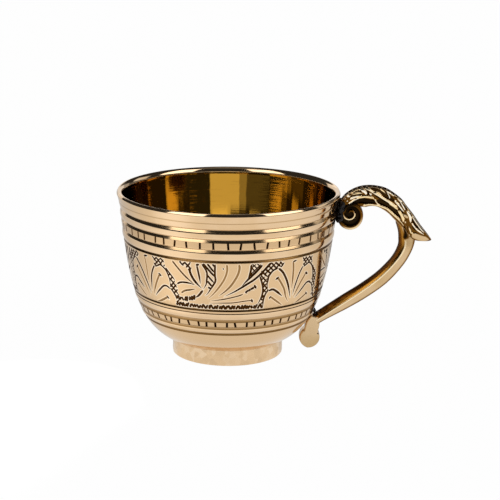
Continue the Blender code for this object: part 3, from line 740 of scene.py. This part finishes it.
def frieze_cuts():
    """Every cut of the frieze: its line on the flat roll, its half widths and how dark it is."""
    rng = random.Random(7)
    cuts = []

    def add(points, half, ends, shade, middle):
        low, high = FRIEZE_FOOT + CUT_MARGIN, FRIEZE_TOP - CUT_MARGIN
        shaken = [(u + middle + rng.gauss(0, SHAKE), min(max(z + rng.gauss(0, SHAKE), low), high))
                  for u, z in points]
        line = smooth_line(shaken, 0.35)
        cuts.append((line, taper(line, half * rng.uniform(0.9, 1.1), *ends), shade))

    for places, lines, grounds, rows in ((PALMETTES_AT, PALMETTE, PALMETTE_GROUND, ()),
                                         (SWIRLS_AT, SWIRL, SWIRL_GROUND, SWIRL_ROWS)):
        for place in places:
            middle = math.radians(place) * ROLL
            for half, *points in lines:
                add(points, half, LINE_ENDS, DARKNESS[half], middle)
            for angles, half, *outline in grounds:
                for angle in angles:
                    for stroke in hatch(outline, angle, rng):
                        add(stroke, half, HATCH_ENDS, 1.0, middle)
            for length, space, line in rows:
                for stroke in row_strokes(length, space, line, rng):
                    add(stroke, ROW_HALF, ROW_ENDS, 1.0, middle)
    whole = 2 * math.pi * ROLL
    wrapped = []
    for line, half, shade in cuts:
        for turn in (-whole, 0.0, whole):
            moved = line + (turn, 0.0)
            if moved[:, 0].max() > -whole / 2 - 1 and moved[:, 0].min() < whole / 2 + 1:
                wrapped.append((moved, half, shade))
    return wrapped


def cut_depth(points, cuts):
    """How deep the burin went at each point of the flat roll, how dark its cut is, and how bright the painted
    highlight beside it is.
    """
    depth, dark, cut_highlight = (np.zeros(len(points)) for _ in range(3))
    for line, half, shade in cuts:
        reach = half.max() + CUT_HIGHLIGHT_WIDTH
        low, high = line.min(0) - reach, line.max(0) + reach
        near = np.flatnonzero(((points >= low) & (points <= high)).all(1))
        if not len(near):
            continue
        gap, place = to_line(points[near], line)
        inside = np.interp(place, np.arange(len(half)), half) - gap
        deeper = BURIN_SLOPE * inside > depth[near]
        depth[near[deeper]] = BURIN_SLOPE * inside[deeper]
        dark[near[deeper]] = shade
        # A brighter band along both edges of each cut, a painted highlight.
        cut_highlight[near] = np.maximum(cut_highlight[near], (0.5 + 0.5 * shade) * (inside > -CUT_HIGHLIGHT_WIDTH))
    return depth, dark, cut_highlight


def frieze_mesh():
    """Points and triangles of the engraved frieze, wrapped round the bowl."""
    cuts = frieze_cuts()
    half_roll = math.pi * ROLL
    flat, edges = [], []

    def add_line(points):
        start = len(flat)
        flat.extend(Vector(point) for point in points)
        edges.extend((i, i + 1) for i in range(start, len(flat) - 1))

    def add_cut_line(points):
        heights = np.clip(points[:, 1], FRIEZE_FOOT + LINE_MARGIN, FRIEZE_TOP - LINE_MARGIN)
        add_line(np.column_stack((points[:, 0], heights)))

    steps = np.linspace(-half_roll, half_roll, COLUMNS + 1)
    levels = np.linspace(FRIEZE_FOOT, FRIEZE_TOP, FRIEZE_LEVELS)
    for level in (FRIEZE_FOOT, FRIEZE_TOP):
        add_line([(u, level) for u in steps])
    for side in (-half_roll, half_roll):
        add_line([(side, level) for level in levels])
    for i, level in enumerate(levels[1:-1]):
        flat.extend(Vector((u + (0.25 + 0.5 * (i % 2)) * (steps[1] - steps[0]), level)) for u in steps[:-1])
    for line, half, _ in cuts:
        side = left_of(line)
        add_cut_line(line)
        for way in (-1, 1):
            add_cut_line(np.vstack((line[:1], line[1:-1] + way * half[1:-1, None] * side[1:-1], line[-1:])))
            add_cut_line(line + way * (half[:, None] + CUT_HIGHLIGHT_WIDTH) * side)
    made, _, triangles, *_ = geometry.delaunay_2d_cdt(flat, edges, [], 0, 1e-5)
    made, triangles = np.array(made), np.array(triangles)
    middles = made[triangles].mean(1)
    inside = (abs(middles[:, 0]) < half_roll) & (middles[:, 1] > FRIEZE_FOOT) & (middles[:, 1] < FRIEZE_TOP)
    depth, *_ = cut_depth(made, cuts)
    for level in (FRIEZE_FOOT, FRIEZE_TOP):
        depth[abs(made[:, 1] - level) < 1e-4] = 0.0
    return around(wall_radius(made[:, 1]) - depth, made[:, 1], made[:, 0] / ROLL), triangles[inside]


def mesh_array(collection, name, width, kind=float):
    """Values of a mesh layer as an array."""
    values = np.empty(len(collection) * width, kind)
    collection.foreach_get(name, values)
    return values.reshape(-1, width) if width > 1 else values


def set_attribute(mesh, name, domain, values):
    mesh.attributes.new(name, "FLOAT", domain).data.foreach_set("value", np.asarray(values, np.float32))


def shade_bowl(piece, profile, dirt_and_shade, lip_row):
    """Keep the dark of each cut and the painted highlight beside it in an attribute, shade the land smooth along
    the profile and leave cuts sharp.
    """
    mesh = piece.data
    steps = np.arange(len(profile))

    def on_profile(spots):
        """Radius of each spot, and its place along the profile as a count of rows."""
        radius = np.hypot(spots[:, 0], spots[:, 1])
        parts = np.array_split(np.stack((radius, spots[:, 2]), axis=1), len(spots) // BATCH + 1)
        return radius, np.concatenate([to_line(part, profile)[1] for part in parts])

    spots = mesh_array(mesh.vertices, "co", 3) / MM
    radius, row = on_profile(spots)
    lean = unit(look_up(row, steps, left_of(profile)))
    smooth = np.column_stack((spots[:, :2] / np.maximum(radius, 1e-6)[:, None] * lean[:, :1], lean[:, 1]))

    middles = mesh_array(mesh.polygons, "center", 3) / MM
    radius, row = on_profile(middles)
    height = middles[:, 2]
    patina_and_painted_light = np.interp(row, steps, dirt_and_shade)
    cut = np.full(len(middles), False)
    for at, _, length in CHISELLED:
        cut |= (abs(height - at) < length / 2 - 0.04) & (abs(wall_radius(height) - radius - 0.3) < 0.28)
    patina_and_painted_light[cut] = 1.0
    engraved = np.flatnonzero((height < FRIEZE_TOP) & (height > FRIEZE_FOOT)
                              & (radius > wall_radius(height) - RIM_WALL / 2))
    roll = np.column_stack((np.arctan2(middles[engraved, 0], -middles[engraved, 1]) * ROLL, height[engraved]))
    depth, dark, cut_highlight = cut_depth(roll, frieze_cuts())
    deep = depth > SHALLOWEST
    # Land beside a cut is painted brighter, a painted highlight.
    patina_and_painted_light[engraved] = np.where(deep, dark, patina_and_painted_light[engraved] - cut_highlight * (CUT_HIGHLIGHT_SHINE + patina_and_painted_light[engraved]))
    cut[engraved[deep]] = True
    set_attribute(mesh, "patina_and_painted_light", "FACE", patina_and_painted_light)
    set_attribute(mesh, "inside", "FACE", row < lip_row)

    corners = mesh_array(mesh.polygons, "loop_total", 1, int)
    sharp = np.repeat(cut, corners)
    faces = np.repeat(np.arange(len(mesh.polygons)), corners)
    normals = smooth[mesh_array(mesh.loops, "vertex_index", 1, int)]
    normals[sharp] = mesh_array(mesh.polygons, "normal", 3)[faces[sharp]]
    mesh.normals_split_custom_set(normals.tolist())


def build_bowl(brass):
    profile, frieze_rows, lip_row = bowl_profile()
    points, faces = turned_mesh(profile[:, :2], COLUMNS, frieze_rows)
    frieze_points, triangles = frieze_mesh()
    faces += list(triangles + len(points))
    piece = make_piece("bowl_engraved", np.vstack((points, frieze_points)), faces, brass)
    tree = chisel_tree()
    for i, (height, count, length) in enumerate(CHISELLED):
        above, below = float(wall_radius(height + 0.5)), float(wall_radius(height - 0.5))
        run_tree(piece, tree, {
            "Cuts": count, "Radius": (above + below) / 2 * MM, "Height": height * MM, "Length": length * MM,
            "Half Width": CHISEL_HALF * MM, "Depth": CHISEL_DEPTH * MM, "Tilt": math.atan(above - below),
            "Lean": CHISEL_LEAN, "Unevenness": CHISEL_UNEVEN, "Seed": 3 + i, "Metal": brass})
    shade_bowl(piece, profile[:, :2], profile[:, 2], lip_row)
    place_piece(piece, ["bowl"])


def hammer_tree():
    """Push small flats into the outer wall of the foot ring, as planishing leaves them."""
    tree, given = geometry_tree("hammer_marks", ("Float", "Cell", "Depth", "Inner Radius", "Bottom", "Top"))
    spot = add_node(tree, "GeometryNodeInputPosition")
    parts = add_node(tree, "ShaderNodeSeparateXYZ", {0: spot})
    x, y, z = (parts[i] for i in range(3))
    reach = vector_sum(tree, "LENGTH", vector_node(tree, x, y))["Value"]
    outer = reach.sum("GREATER_THAN", given["Inner Radius"]) * z.sum("LESS_THAN", given["Top"])
    outer = outer * z.sum("GREATER_THAN", given["Bottom"])
    marks = add_node(tree, "ShaderNodeTexVoronoi", {
        "Vector": spot, "Scale": sum_node(tree, "DIVIDE", 1.0, given["Cell"])}, feature="SMOOTH_F1")["Distance"]
    return end_tree(tree, push_out(tree, given, (marks - 0.45) * outer * given["Depth"]), given)


def build_foot(brass):
    """Foot ring, whose cove closes the seam under the bowl."""
    edge, quarter = FOOT_ROUND, np.linspace(0.0, math.pi / 2, 6)
    cove = [(FOOT_RADIUS, FOOT_TOP)]
    for a in np.linspace(math.pi / 2, 0.0, 9):
        cove.append((FOOT_RADIUS + COVE_WIDTH * (1 - math.cos(a)), COVE_FOOT + COVE_HEIGHT * math.sin(a)))
    wall = [(FOOT_RADIUS, z) for z in np.linspace(3.6, 0.45, 14)]
    heel = [(FOOT_RADIUS - edge + edge * math.cos(a), edge - edge * math.sin(a)) for a in quarter]
    toe = [(FOOT_BORE + edge - edge * math.sin(a), edge - edge * math.cos(a)) for a in quarter]
    bore = [(FOOT_BORE, z) for z in np.linspace(0.9, 4.6, 6)]
    profile = cove + wall + heel + toe + bore
    points, faces = turned_mesh(profile + profile[:1], FOOT_COLUMNS)
    piece = make_piece("foot_ring_hammered", points, faces, brass)
    run_tree(piece, hammer_tree(), {
        "Cell": HAMMER_CELL * MM, "Depth": HAMMER_DEPTH * MM, "Inner Radius": (FOOT_RADIUS - 0.3) * MM,
        "Bottom": HAMMER_FOOT * MM, "Top": HAMMER_TOP * MM, "Metal": brass})
    place_piece(piece, ["foot_ring"])


def build_foot_solder(solder):
    """Uneven fillet of solder in the inner corner of the foot ring."""
    outer, top = FOOT_BORE + 0.1, FOOT_HEIGHT - 0.05
    rings = []
    for angle in 2 * math.pi * np.arange(FILLET_COLUMNS) / FILLET_COLUMNS:
        spot = Vector((math.cos(angle), math.sin(angle), 0.0)) * 4
        leg = FOOT_FILLET * (1 + 0.22 * noise.noise(spot) + 0.1 * noise.noise(spot * 4))
        ring = [(outer, top)]
        for a in np.linspace(math.pi / 2, 0.0, 8):
            away, down = (leg * (1 - share) * 0.98 for share in (math.sin(a), math.cos(a)))
            ring.append((outer - away - 0.02, top - down - 0.02))
        rings.append([(r * math.cos(angle), r * math.sin(angle), z) for r, z in ring])
    piece = make_piece("foot_solder_fillet", *loft_mesh(rings, closed=True), solder, outwards=True)
    place_piece(piece, ["foot_solder"])


def in_plane(path, outs, sections):
    """Rings in space from a path in the handle's plane, its outward directions and sections (outward, across)."""
    rings = []
    for place, out, section in zip(path, outs, sections):
        flat = place + section[:, :1] * out
        rings.append(np.column_stack((flat[:, 0], section[:, 1], flat[:, 1])))
    return rings


def loft_along(path, sections):
    return loft_mesh(in_plane(path, left_of(path), sections))


def round_section(thickness, depth, fullness, fine, count):
    """Closed section with full sides, drawn fine and then evenly spaced: the larger the fullness, the squarer."""
    angles = 2 * math.pi * np.arange(fine) / fine
    bulge = [np.sign(c) * np.abs(c) ** (2 / fullness) for c in (np.cos(angles), np.sin(angles))]
    section = np.column_stack((thickness / 2 * bulge[0], depth / 2 * bulge[1]))
    closed = np.vstack((section, section[:1]))
    run = run_along(closed)
    return look_up(np.arange(count) * run[-1] / count, run, closed)


def arm_section(thickness, depth, ridge):
    """Flat outer side and a full bevel from the ridge to the inner crest, alike on both faces.

    Gives the points with their soot, which paints shade along the outer edge and the bevel and a highlight by the
    ridge, and one where the bevel is painted amber, a painted reflection.
    """
    # Soot along the outer edge paints a dark outline, a painted shade; the -0.7 by the ridge is a painted
    # highlight.
    side = [(0.50, 0.0, 0.1), (0.50, 0.35, 0.1), (0.50, 0.70, 0.4), (0.49, 0.86, 0.6), (0.46, 0.95, 0.55),
            (0.42, 0.985, 0.45), (0.37, 1.0, 0.28), (0.32, 1.0, 0.0), (0.20, 1.0, 0.0), (ridge + 0.13, 1.0, 0.0),
            (ridge + 0.10, 1.0, -0.7), (ridge + 0.03, 0.998, -0.7), (ridge + 0.01, 0.985, 0.0),
            (ridge - 0.02, 0.955, 0.04)]
    # The bevel is painted darker towards the inner crest, a painted shade.
    for s in np.linspace(0.06, 1.0, 16):
        inwards = np.interp(s, (0.0, 0.4, 1.0), (0.0, 0.47, 1.0))
        across = np.interp(s, (0.0, 0.4, 1.0), (0.955, 0.82, 0.155))
        dark = np.interp(s, (0.0, 0.25, 0.5, 0.7, 0.85, 1.0), (0.05, 0.09, 0.16, 0.35, 0.65, 0.85))
        side.append((ridge - 0.02 + (-0.478 - ridge) * inwards, across, dark))
    ring = np.array(side + [(-0.50, 0.0, 0.8)])
    ring = np.vstack((ring, ring[-2:0:-1] * (1, -1, 1)))
    return ring[:, :2] * (thickness, depth / 2), ring[:, 2], (ring[:, 0] < ridge - 0.01).astype(float)


def chase(flat):
    """Rise and soot of the chased leaf at points in the plane of the handle: soot above 0 paints dark oxide and
    shade, below 0 a highlight.
    """
    rise, soot = (np.full(len(flat), value) for value in LEAF_FACE)
    for half, high, dark, *line in LEAF_CHASING:
        line = smooth_line(line, 0.3)
        widths = taper(line, half, *CHASE_ENDS)
        near = np.flatnonzero(((flat > line.min(0) - half) & (flat < line.max(0) + half)).all(1))
        if not len(near):
            continue
        gap, place = to_line(flat[near], line)
        width = np.maximum(np.interp(place, np.arange(len(widths)), widths), 1e-4)
        share = np.clip(CHASE_CROWN * (1 - (gap / width) ** 2), 0.0, 1.0)
        rise[near] += share * (high - rise[near])
        soot[near] += share * (dark - soot[near])
    return rise, soot


def build_leaf():
    """Leaf of the handle with its spur, chased on both faces and veined on the back, the back painted black as a
    painted shade save its edges and veins.

    Gives points, faces, soot (dark oxide, painted shade and painted highlights) and dullness, which makes the
    painted black back a dull non-metal.
    """
    rows, size = smooth_line(LEAF, 0.13), 150
    back, inner = rows[:, :2], rows[:, 2:4]
    across = np.linalg.norm(back - inner, axis=1)
    sections = [round_section(t, d, 8.0, 320, size) for t, d in zip(across, rows[:, 4])]
    points, faces = loft_mesh(in_plane((back + inner) / 2, (back - inner) / across[:, None], sections))
    points = np.array(points)
    outward = np.concatenate([2 * section[:, 0] / t for section, t in zip(sections, across)] + [(0.0, 0.0)])
    spine = np.clip((outward - 0.90) / 0.06, 0.0, 1.0)
    belly = np.clip((-outward - 0.86) / 0.08, 0.0, 1.0)
    y, half = points[:, 1].copy(), np.append(np.repeat(rows[:, 4] / 2, size), (1.0, 1.0))
    run = run_along(back)
    along = np.append(np.repeat(run, size), (0.0, run[-1]))
    edge, space = LEAF_BACK
    vein = np.clip(1.3 - np.abs((along + 0.8 * y ** 2 / half) % space - space / 2) / 0.10, 0.0, 1.0)
    # The back is painted black, a painted shade, save its edges and veins.
    sooty = np.clip((half - edge - np.abs(y)) / 0.25, 0.0, 1.0) * (1 - vein)
    rise, soot = chase(points[:, [0, 2]])
    points[:, 1] += np.sign(y) * rise * (1 - spine) * (1 - belly) * np.clip(np.abs(y) / 2.0, 0.0, 1.0)
    return points, faces, soot + spine * (1.1 * sooty - 0.1 - soot) + belly * (0.2 - soot), 6.0 * spine * sooty


def build_handle(brass):
    *leaf, leaf_oxide_and_painted_light, leaf_dull = build_leaf()

    rows = smooth_line(ARM, 0.3)
    sections, section_painted_light, painted_reflections = zip(*(arm_section(t, d, ridge) for t, d, ridge in rows[:, 2:5]))
    arm = loft_along(rows[:, :2], sections)
    # Dark round the knuckle, a painted shade in its notch.
    gap, _ = to_line(np.array(arm[0])[:, [0, 2]], smooth_line(KNUCKLE, 0.3))
    arm_painted_light = np.maximum(np.concatenate((*section_painted_light, (0.5, 0.5))), np.clip(1.6 - gap / 0.55, -1.0, 1.0))
    arm_painted_reflection = np.concatenate((*painted_reflections, (0.0, 0.0)))

    lobe = off_wall(LOBE_HEIGHT, LOBE_STANDOFF + LOBE_RADIUS)
    neck = off_wall(NECK_TOUCH, 0.1 + NECK_WIDTH / 2)
    down = (lobe - neck) / np.linalg.norm(lobe - neck)
    *root, width = TONGUE_ROOT
    tongue = [(*off_wall(*root), width), (*neck, NECK_WIDTH)]
    for angle in np.linspace(-0.80, 1.45, 12):
        tongue.append((*(lobe + down * LOBE_RADIUS * math.sin(angle)), 2 * LOBE_RADIUS * math.cos(angle)))
    rows = smooth_line(tongue, 0.3)
    plate = loft_along(rows[:, :2], [round_section(t, ARM_DEPTH, 7.0, 200, 80) for t in rows[:, 2]])

    rows = smooth_line(SCROLL, 0.2)
    sections = [round_section(t, SCROLL_DEPTH, 5.0, 160, 64) for t in rows[:, 2]]
    strip = loft_along(rows[:, :2], sections)
    outer = np.clip([0.8 - 4.0 * section[:, 0] / t for section, t in zip(sections, rows[:, 2])], 0.0, 1.0)
    # Faces of the strip that look in towards the eye are painted at least this dark, a painted shade inside the
    # turns.
    strip_painted_light = outer * rows[:, 3:] + (1 - outer) * np.maximum(rows[:, 3:], 0.75)
    strip_painted_light = np.concatenate((strip_painted_light.ravel(), rows[[0, -1], 3]))

    # Core of the scroll, painted black as the shade inside it.
    angles = np.linspace(0, 2 * math.pi, 48, endpoint=False)
    core = loft_mesh([
        np.column_stack((EYE[0] + radius * np.cos(angles), 0 * angles + y, EYE[1] + radius * np.sin(angles)))
        for y, radius in SCROLL_CORE])

    points, faces, layers = [], [], []
    for (made, joined), *looks in ((leaf, leaf_oxide_and_painted_light, 0.0, leaf_dull), (arm, arm_painted_light, arm_painted_reflection, 1.0),
                                   (plate, 0.0, 0.0, 1.0), (strip, strip_painted_light, 0.0, 0.0), (core, 1.0, 0.0, 0.0)):
        faces += [tuple(v + len(points) for v in face) for face in joined]
        points += list(made)
        layers.append(np.column_stack([np.zeros(len(made)) + look for look in looks]))
    piece = make_piece("handle_cast", points, faces, brass, merge=False, outwards=True)
    for name, values in zip(("patina_and_painted_light", "inside", "satin"), np.vstack(layers).T):
        set_attribute(piece.data, name, "POINT", values)
    place_piece(piece, ["handle"])


def solder_tree():
    """Lumps of solder run together along a line of points."""
    tree, given = geometry_tree("solder_lumps", ("Float", "Small", "Large", "Voxel", "Roughness"), ("Int", "Seed"))
    size = chance_node(tree, given["Small"], given["Large"], given["Seed"])
    drops = add_node(tree, "GeometryNodeMeshToPoints", {"Mesh": given, "Radius": size})
    cloud = add_node(tree, "GeometryNodePointsToVolume", {
        "Points": drops, "Voxel Size": given["Voxel"], "Radius": size}, resolution_mode="VOXEL_SIZE")
    skin = add_node(tree, "GeometryNodeVolumeToMesh", {"Volume": cloud, "Threshold": 0.2})
    pits = noise_node(tree, add_node(tree, "GeometryNodeInputPosition"), LUMP_PITS)
    rough = push_out(tree, skin, (pits - 0.5) * given["Roughness"])
    return end_tree(tree, add_node(tree, "GeometryNodeSetShadeSmooth", {"Geometry": rough}), given)


def build_solder(tree, name, node, drops, sizes, seed, solder):
    """Solder grown over drops, which are points in millimetres."""
    piece = make_piece(name, drops, [], solder, merge=False)
    small, large = sizes
    run_tree(piece, tree, {"Small": small * MM, "Large": large * MM, "Voxel": SOLDER_VOXEL * MM,
                           "Roughness": SOLDER_ROUGH * MM, "Seed": seed, "Metal": solder})
    place_piece(piece, [node])


def side_drops(side, rng):
    """Drops between the scroll and the bowl, on one side of the handle."""
    drops = []
    for i in range(SIDE_DROPS):
        height = EYE[1] - SIDE_START + SIDE_SPAN * (i + 0.5) / SIDE_DROPS
        y = side * rng.uniform(1.9, 3.5)
        reach = float(wall_radius(height)) + rng.uniform(0.1, 1.7)
        drops.append((math.sqrt(reach ** 2 - y ** 2), y, height))
    return drops


def new_material(name):
    material = bpy.data.materials.new(name)
    material.use_nodes = True
    tree = material.node_tree
    return material, tree, tree.nodes["Principled BSDF"]


def brass_metal(name, colours, gloss, grain, grain_depth, flats=None, stain_and_shade=None, inner=INSIDE_BRASS):
    """Polished brass: cloudy tarnish, fine polishing lines, and dark or bright places as the patina attribute
    says: above 0 dark oxide, dirt and painted shade, below 0 painted highlights.

    Flats are the width of hammer marks, each painted a little darker or brighter as a painted sheen, and burnt is
    a dark patch round the handle's root, partly heat stain and partly painted shade of the handle.
    """
    pale, warm, bright, brown, black = colours
    material, tree, shader = new_material(name)
    spot = add_node(tree, "ShaderNodeTexCoord")["Object"]
    dark, inside, satin = (add_node(tree, "ShaderNodeAttribute", attribute_name=layer)["Fac"]
                           for layer in ("patina_and_painted_light", "inside", "satin"))
    # A dark patch round the handle's root: partly heat stain, partly painted shade and reflection of the handle.
    if stain_and_shade:
        (x, y, z), reach = stain_and_shade
        away = vector_sum(tree, "SUBTRACT", spot, (AXIS + x * MM, y * MM, z * MM))
        away = vector_sum(tree, "DIVIDE", away, tuple(length * MM for length in reach))
        far = vector_sum(tree, "LENGTH", away)["Value"]
        shaken = noise_node(tree, spot, STAIN_FRINGE).sum("MULTIPLY_ADD", 0.45, far)
        dark = dark.sum("MAXIMUM", shaken.ranged(0.7, 1.7, 0.9, -1.0))
    clouds = noise_node(tree, spot, CLOUDS, 4.0).ranged(0.42, 0.68)
    tone = mix_colour(clouds.sum("MAXIMUM", dark.ranged(0.0, 0.12)), pale, warm)
    # Below 0 the attribute paints highlights, above 0 dark oxide, dirt and painted shade.
    for share, colour in ((inside, inner), (dark.ranged(0.0, -0.5), bright), (dark.ranged(-0.5, -1.0), WHITE_HIGHLIGHT_BRASS),
                          (dark.ranged(0.08, 0.55), brown), (dark.ranged(0.50, 0.98), black)):
        tone = mix_colour(share, tone, colour)
    # Each hammer flat is painted a little darker or brighter at random, a painted sheen.
    if flats:
        fringe = noise_node(tree, spot, FLAT_FRINGE, 2.0)["Color"]
        shaken = add_node(tree, "ShaderNodeMix", {0: 0.0012, 4: spot, 5: fringe}, data_type="VECTOR")[1]
        marks = add_node(tree, "ShaderNodeTexVoronoi", {"Vector": shaken, "Scale": 1 / flats, "Smoothness": 0.35},
                         feature="SMOOTH_F1")["Color"]
        shade = add_node(tree, "ShaderNodeSeparateColor", {0: marks})
        tone = mix_colour(shade.ranged(0.5, 0.95, 0.0, 0.55), tone, FLAT_BRASS)
        tone = mix_colour(shade.ranged(0.5, 0.05, 0.0, 0.7), tone, bright)
    lines = noise_node(tree, spot, 1.0, 2.0, grain)
    polish = lines.ranged(0.3, 0.7, *gloss) * inside.ranged(0.0, 1.0, 1.0, 0.35)
    waves = add_node(tree, "ShaderNodeBump", {
        "Strength": 0.5, "Distance": 0.00002, "Height": noise_node(tree, spot, WAVES, 1.0)})
    bump = add_node(tree, "ShaderNodeBump", {
        "Strength": 0.35, "Distance": grain_depth, "Height": lines, "Normal": waves})
    bare = satin.ranged(1.5, 5.0, 1.0, 0.0)
    set_inputs(shader, {
        "Base Color": tone, "Roughness": polish + dark.sum("MAXIMUM", 0.0) * 0.3 + satin * 0.12, "Normal": bump,
        "Metallic": bare, "Specular IOR Level": bare * 0.5})
    return material


def solder_metal(name, deep, worn, gloss):
    """Burnt solder: sooty with worn high spots."""
    material, tree, shader = new_material(name)
    spot = add_node(tree, "ShaderNodeTexCoord")["Object"]
    soot = noise_node(tree, spot, SOOT_SPECKS, 4.0)
    bump = add_node(tree, "ShaderNodeBump", {
        "Strength": 0.6, "Distance": 0.0002, "Height": noise_node(tree, spot, SOOT_PITS)})
    set_inputs(shader, {
        "Base Color": mix_colour(soot.ranged(0.45, 0.75), deep, worn), "Roughness": soot.ranged(0.3, 0.7, *gloss),
        "Normal": bump, "Metallic": 0.6})
    return material


def build_floor():
    """Wide pale floor that looks white and still takes a faint shadow. The metal sees it dimmer behind the cup,
    brighter in a pool of light by the left soft box, and darker near the cup, a painted shadow.
    """
    bpy.ops.mesh.primitive_plane_add(size=16.0)
    floor = bpy.context.object
    floor.name = "studio_floor"
    material, tree, shader = new_material("studio_floor_white")
    set_inputs(shader, {"Base Color": (0.9, 0.9, 0.9), "Roughness": 0.9})
    path = add_node(tree, "ShaderNodeLightPath")
    eye = path["Is Camera Ray"]
    seen = eye.sum("MAXIMUM", path["Is Glossy Ray"]).sum("MAXIMUM", path["Is Transmission Ray"])
    spot = add_node(tree, "ShaderNodeSeparateXYZ", {0: add_node(tree, "ShaderNodeTexCoord")["Object"]})
    x, y = spot[0] - AXIS, spot[1]
    turn = x.sum("ARCTAN2", y * -1.0)
    behind = turn.sum("ABSOLUTE").ranged(*map(math.radians, BEHIND), 1.0, FLOOR_BEHIND)
    pool = (turn + math.radians(POOL_LEFT)).sum("ABSOLUTE").ranged(0.0, math.radians(POOL_HALF), FLOOR_POOL, 0.0)
    near = (x * x + y * y).sum("SQRT").ranged(*POOL_EDGE)
    # Painted shadow: the floor glows less near the cup, as the metal sees it.
    level = (behind + pool * near) * (near * 0.12 + 0.88)
    glow = add_node(tree, "ShaderNodeEmission", {"Color": (1.0, 1.0, 1.0), "Strength": level.sum("MAXIMUM", eye)})
    mix = add_node(tree, "ShaderNodeMixShader", {0: seen * FLOOR_GLOW, 1: Wire(tree, shader.outputs[0]), 2: glow})
    set_inputs(tree.nodes["Material Output"], {"Surface": mix})
    floor.data.materials.append(material)


def soft_edge(angle, at, soft, start, end):
    """Soft step of an angle from start to end, at so many degrees."""
    return angle.ranged(math.radians(at - soft), math.radians(at + soft), start, end)


def build_light():
    """White studio up to a low horizon, a dark ceiling above it and large soft boxes."""
    world = bpy.data.worlds.new("studio")
    world.use_nodes = True
    bpy.context.scene.world = world
    tree = world.node_tree
    way = add_node(tree, "ShaderNodeSeparateXYZ", {0: add_node(tree, "ShaderNodeTexCoord")["Generated"]})
    azimuth = way[0].sum("ARCTAN2", way[1] * -1.0)
    elevation = way[2].sum("ARCSINE")
    level = soft_edge(elevation, HORIZON, 2.0, 1.0, CEILING)
    for strength, middle, half, low, high in SOFT_BOXES:
        off = (azimuth - math.radians(middle)).sum("WRAP", math.pi, -math.pi).sum("ABSOLUTE")
        window = soft_edge(elevation, low, BOX_EDGE, 0.0, 1.0) * soft_edge(elevation, high, BOX_EDGE, 1.0, 0.0)
        level = level.sum("MAXIMUM", soft_edge(off, half, BOX_EDGE, 1.0, 0.0) * window * strength)
    set_inputs(tree.nodes["Background"], {"Strength": level, "Color": (1.0, 1.0, 1.0)})


def build_camera():
    camera = bpy.data.objects.new("camera", bpy.data.cameras.new("camera"))
    camera.data.lens, camera.data.sensor_width = LENS, SENSOR
    x, y, z = CAMERA_AT
    turn = Euler((math.pi / 2 - CAMERA_DIP, 0.0, 0.0)).to_matrix() @ Matrix.Rotation(CAMERA_ROLL, 3, "Z")
    camera.matrix_world = Matrix.Translation((AXIS + x * MM, y * MM, z * MM)) @ turn.to_4x4()
    bpy.context.scene.collection.objects.link(camera)
    bpy.context.scene.camera = camera


bowl_metal = brass_metal(
    "bowl_brass_engraved", (PALE_BRASS, WARM_BRASS, BRIGHT_BRASS, BROWN_BRASS, BLACK_OXIDE_AND_SHADE), (0.05, 0.10),
    (60.0, 60.0, 2600.0), 0.00002, stain_and_shade=STAIN_AND_HANDLE_SHADE)
foot_metal = brass_metal(
    "foot_brass_hammered", (FOOT_BRASS, WARM_BRASS, BRIGHT_BRASS, BROWN_BRASS, BLACK_OXIDE_AND_SHADE), (0.10, 0.18),
    (900.0, 900.0, 900.0), 0.00003, flats=HAMMER_CELL * MM)
handle_metal = brass_metal(
    "handle_brass_cast", (HANDLE_BRASS, HANDLE_WARM, HANDLE_GOLD, HANDLE_BROWN, HANDLE_BLACK_AND_SHADE), (0.06, 0.12),
    (700.0, 700.0, 700.0), 0.00001, inner=PAINTED_AMBER_REFLECTION)
soot_metal = solder_metal("solder_black_burnt", (0.011, 0.010, 0.012), (0.065, 0.055, 0.050), (0.35, 0.6))
grey_metal = solder_metal("foot_solder_dull", (0.14, 0.11, 0.08), (0.30, 0.24, 0.17), (0.4, 0.6))

build_camera()
build_light()
build_floor()
build_bowl(bowl_metal)
build_foot(foot_metal)
build_foot_solder(grey_metal)
build_handle(handle_metal)
lumps = solder_tree()
chance = random.Random(11)
for side, node, seed in ((-1, "scroll_solder_front", 5), (1, "scroll_solder_back", 6)):
    build_solder(lumps, node + "_lumps", node, side_drops(side, chance), SCROLL_DROPS, seed, soot_metal)
crook = off_wall(*CROOK)
crook_drops = [(crook[0] + chance.uniform(-0.3, 0.4), y, crook[1] + chance.uniform(-0.3, 0.3))
               for y in np.linspace(-2.0, 2.0, 14)]
build_solder(lumps, "arm_solder_lumps", "arm_solder", crook_drops, CROOK_DROPS, 7, soot_metal)

scene = bpy.context.scene
scene.view_settings.view_transform = "Standard"
bpy.context.view_layer.update()
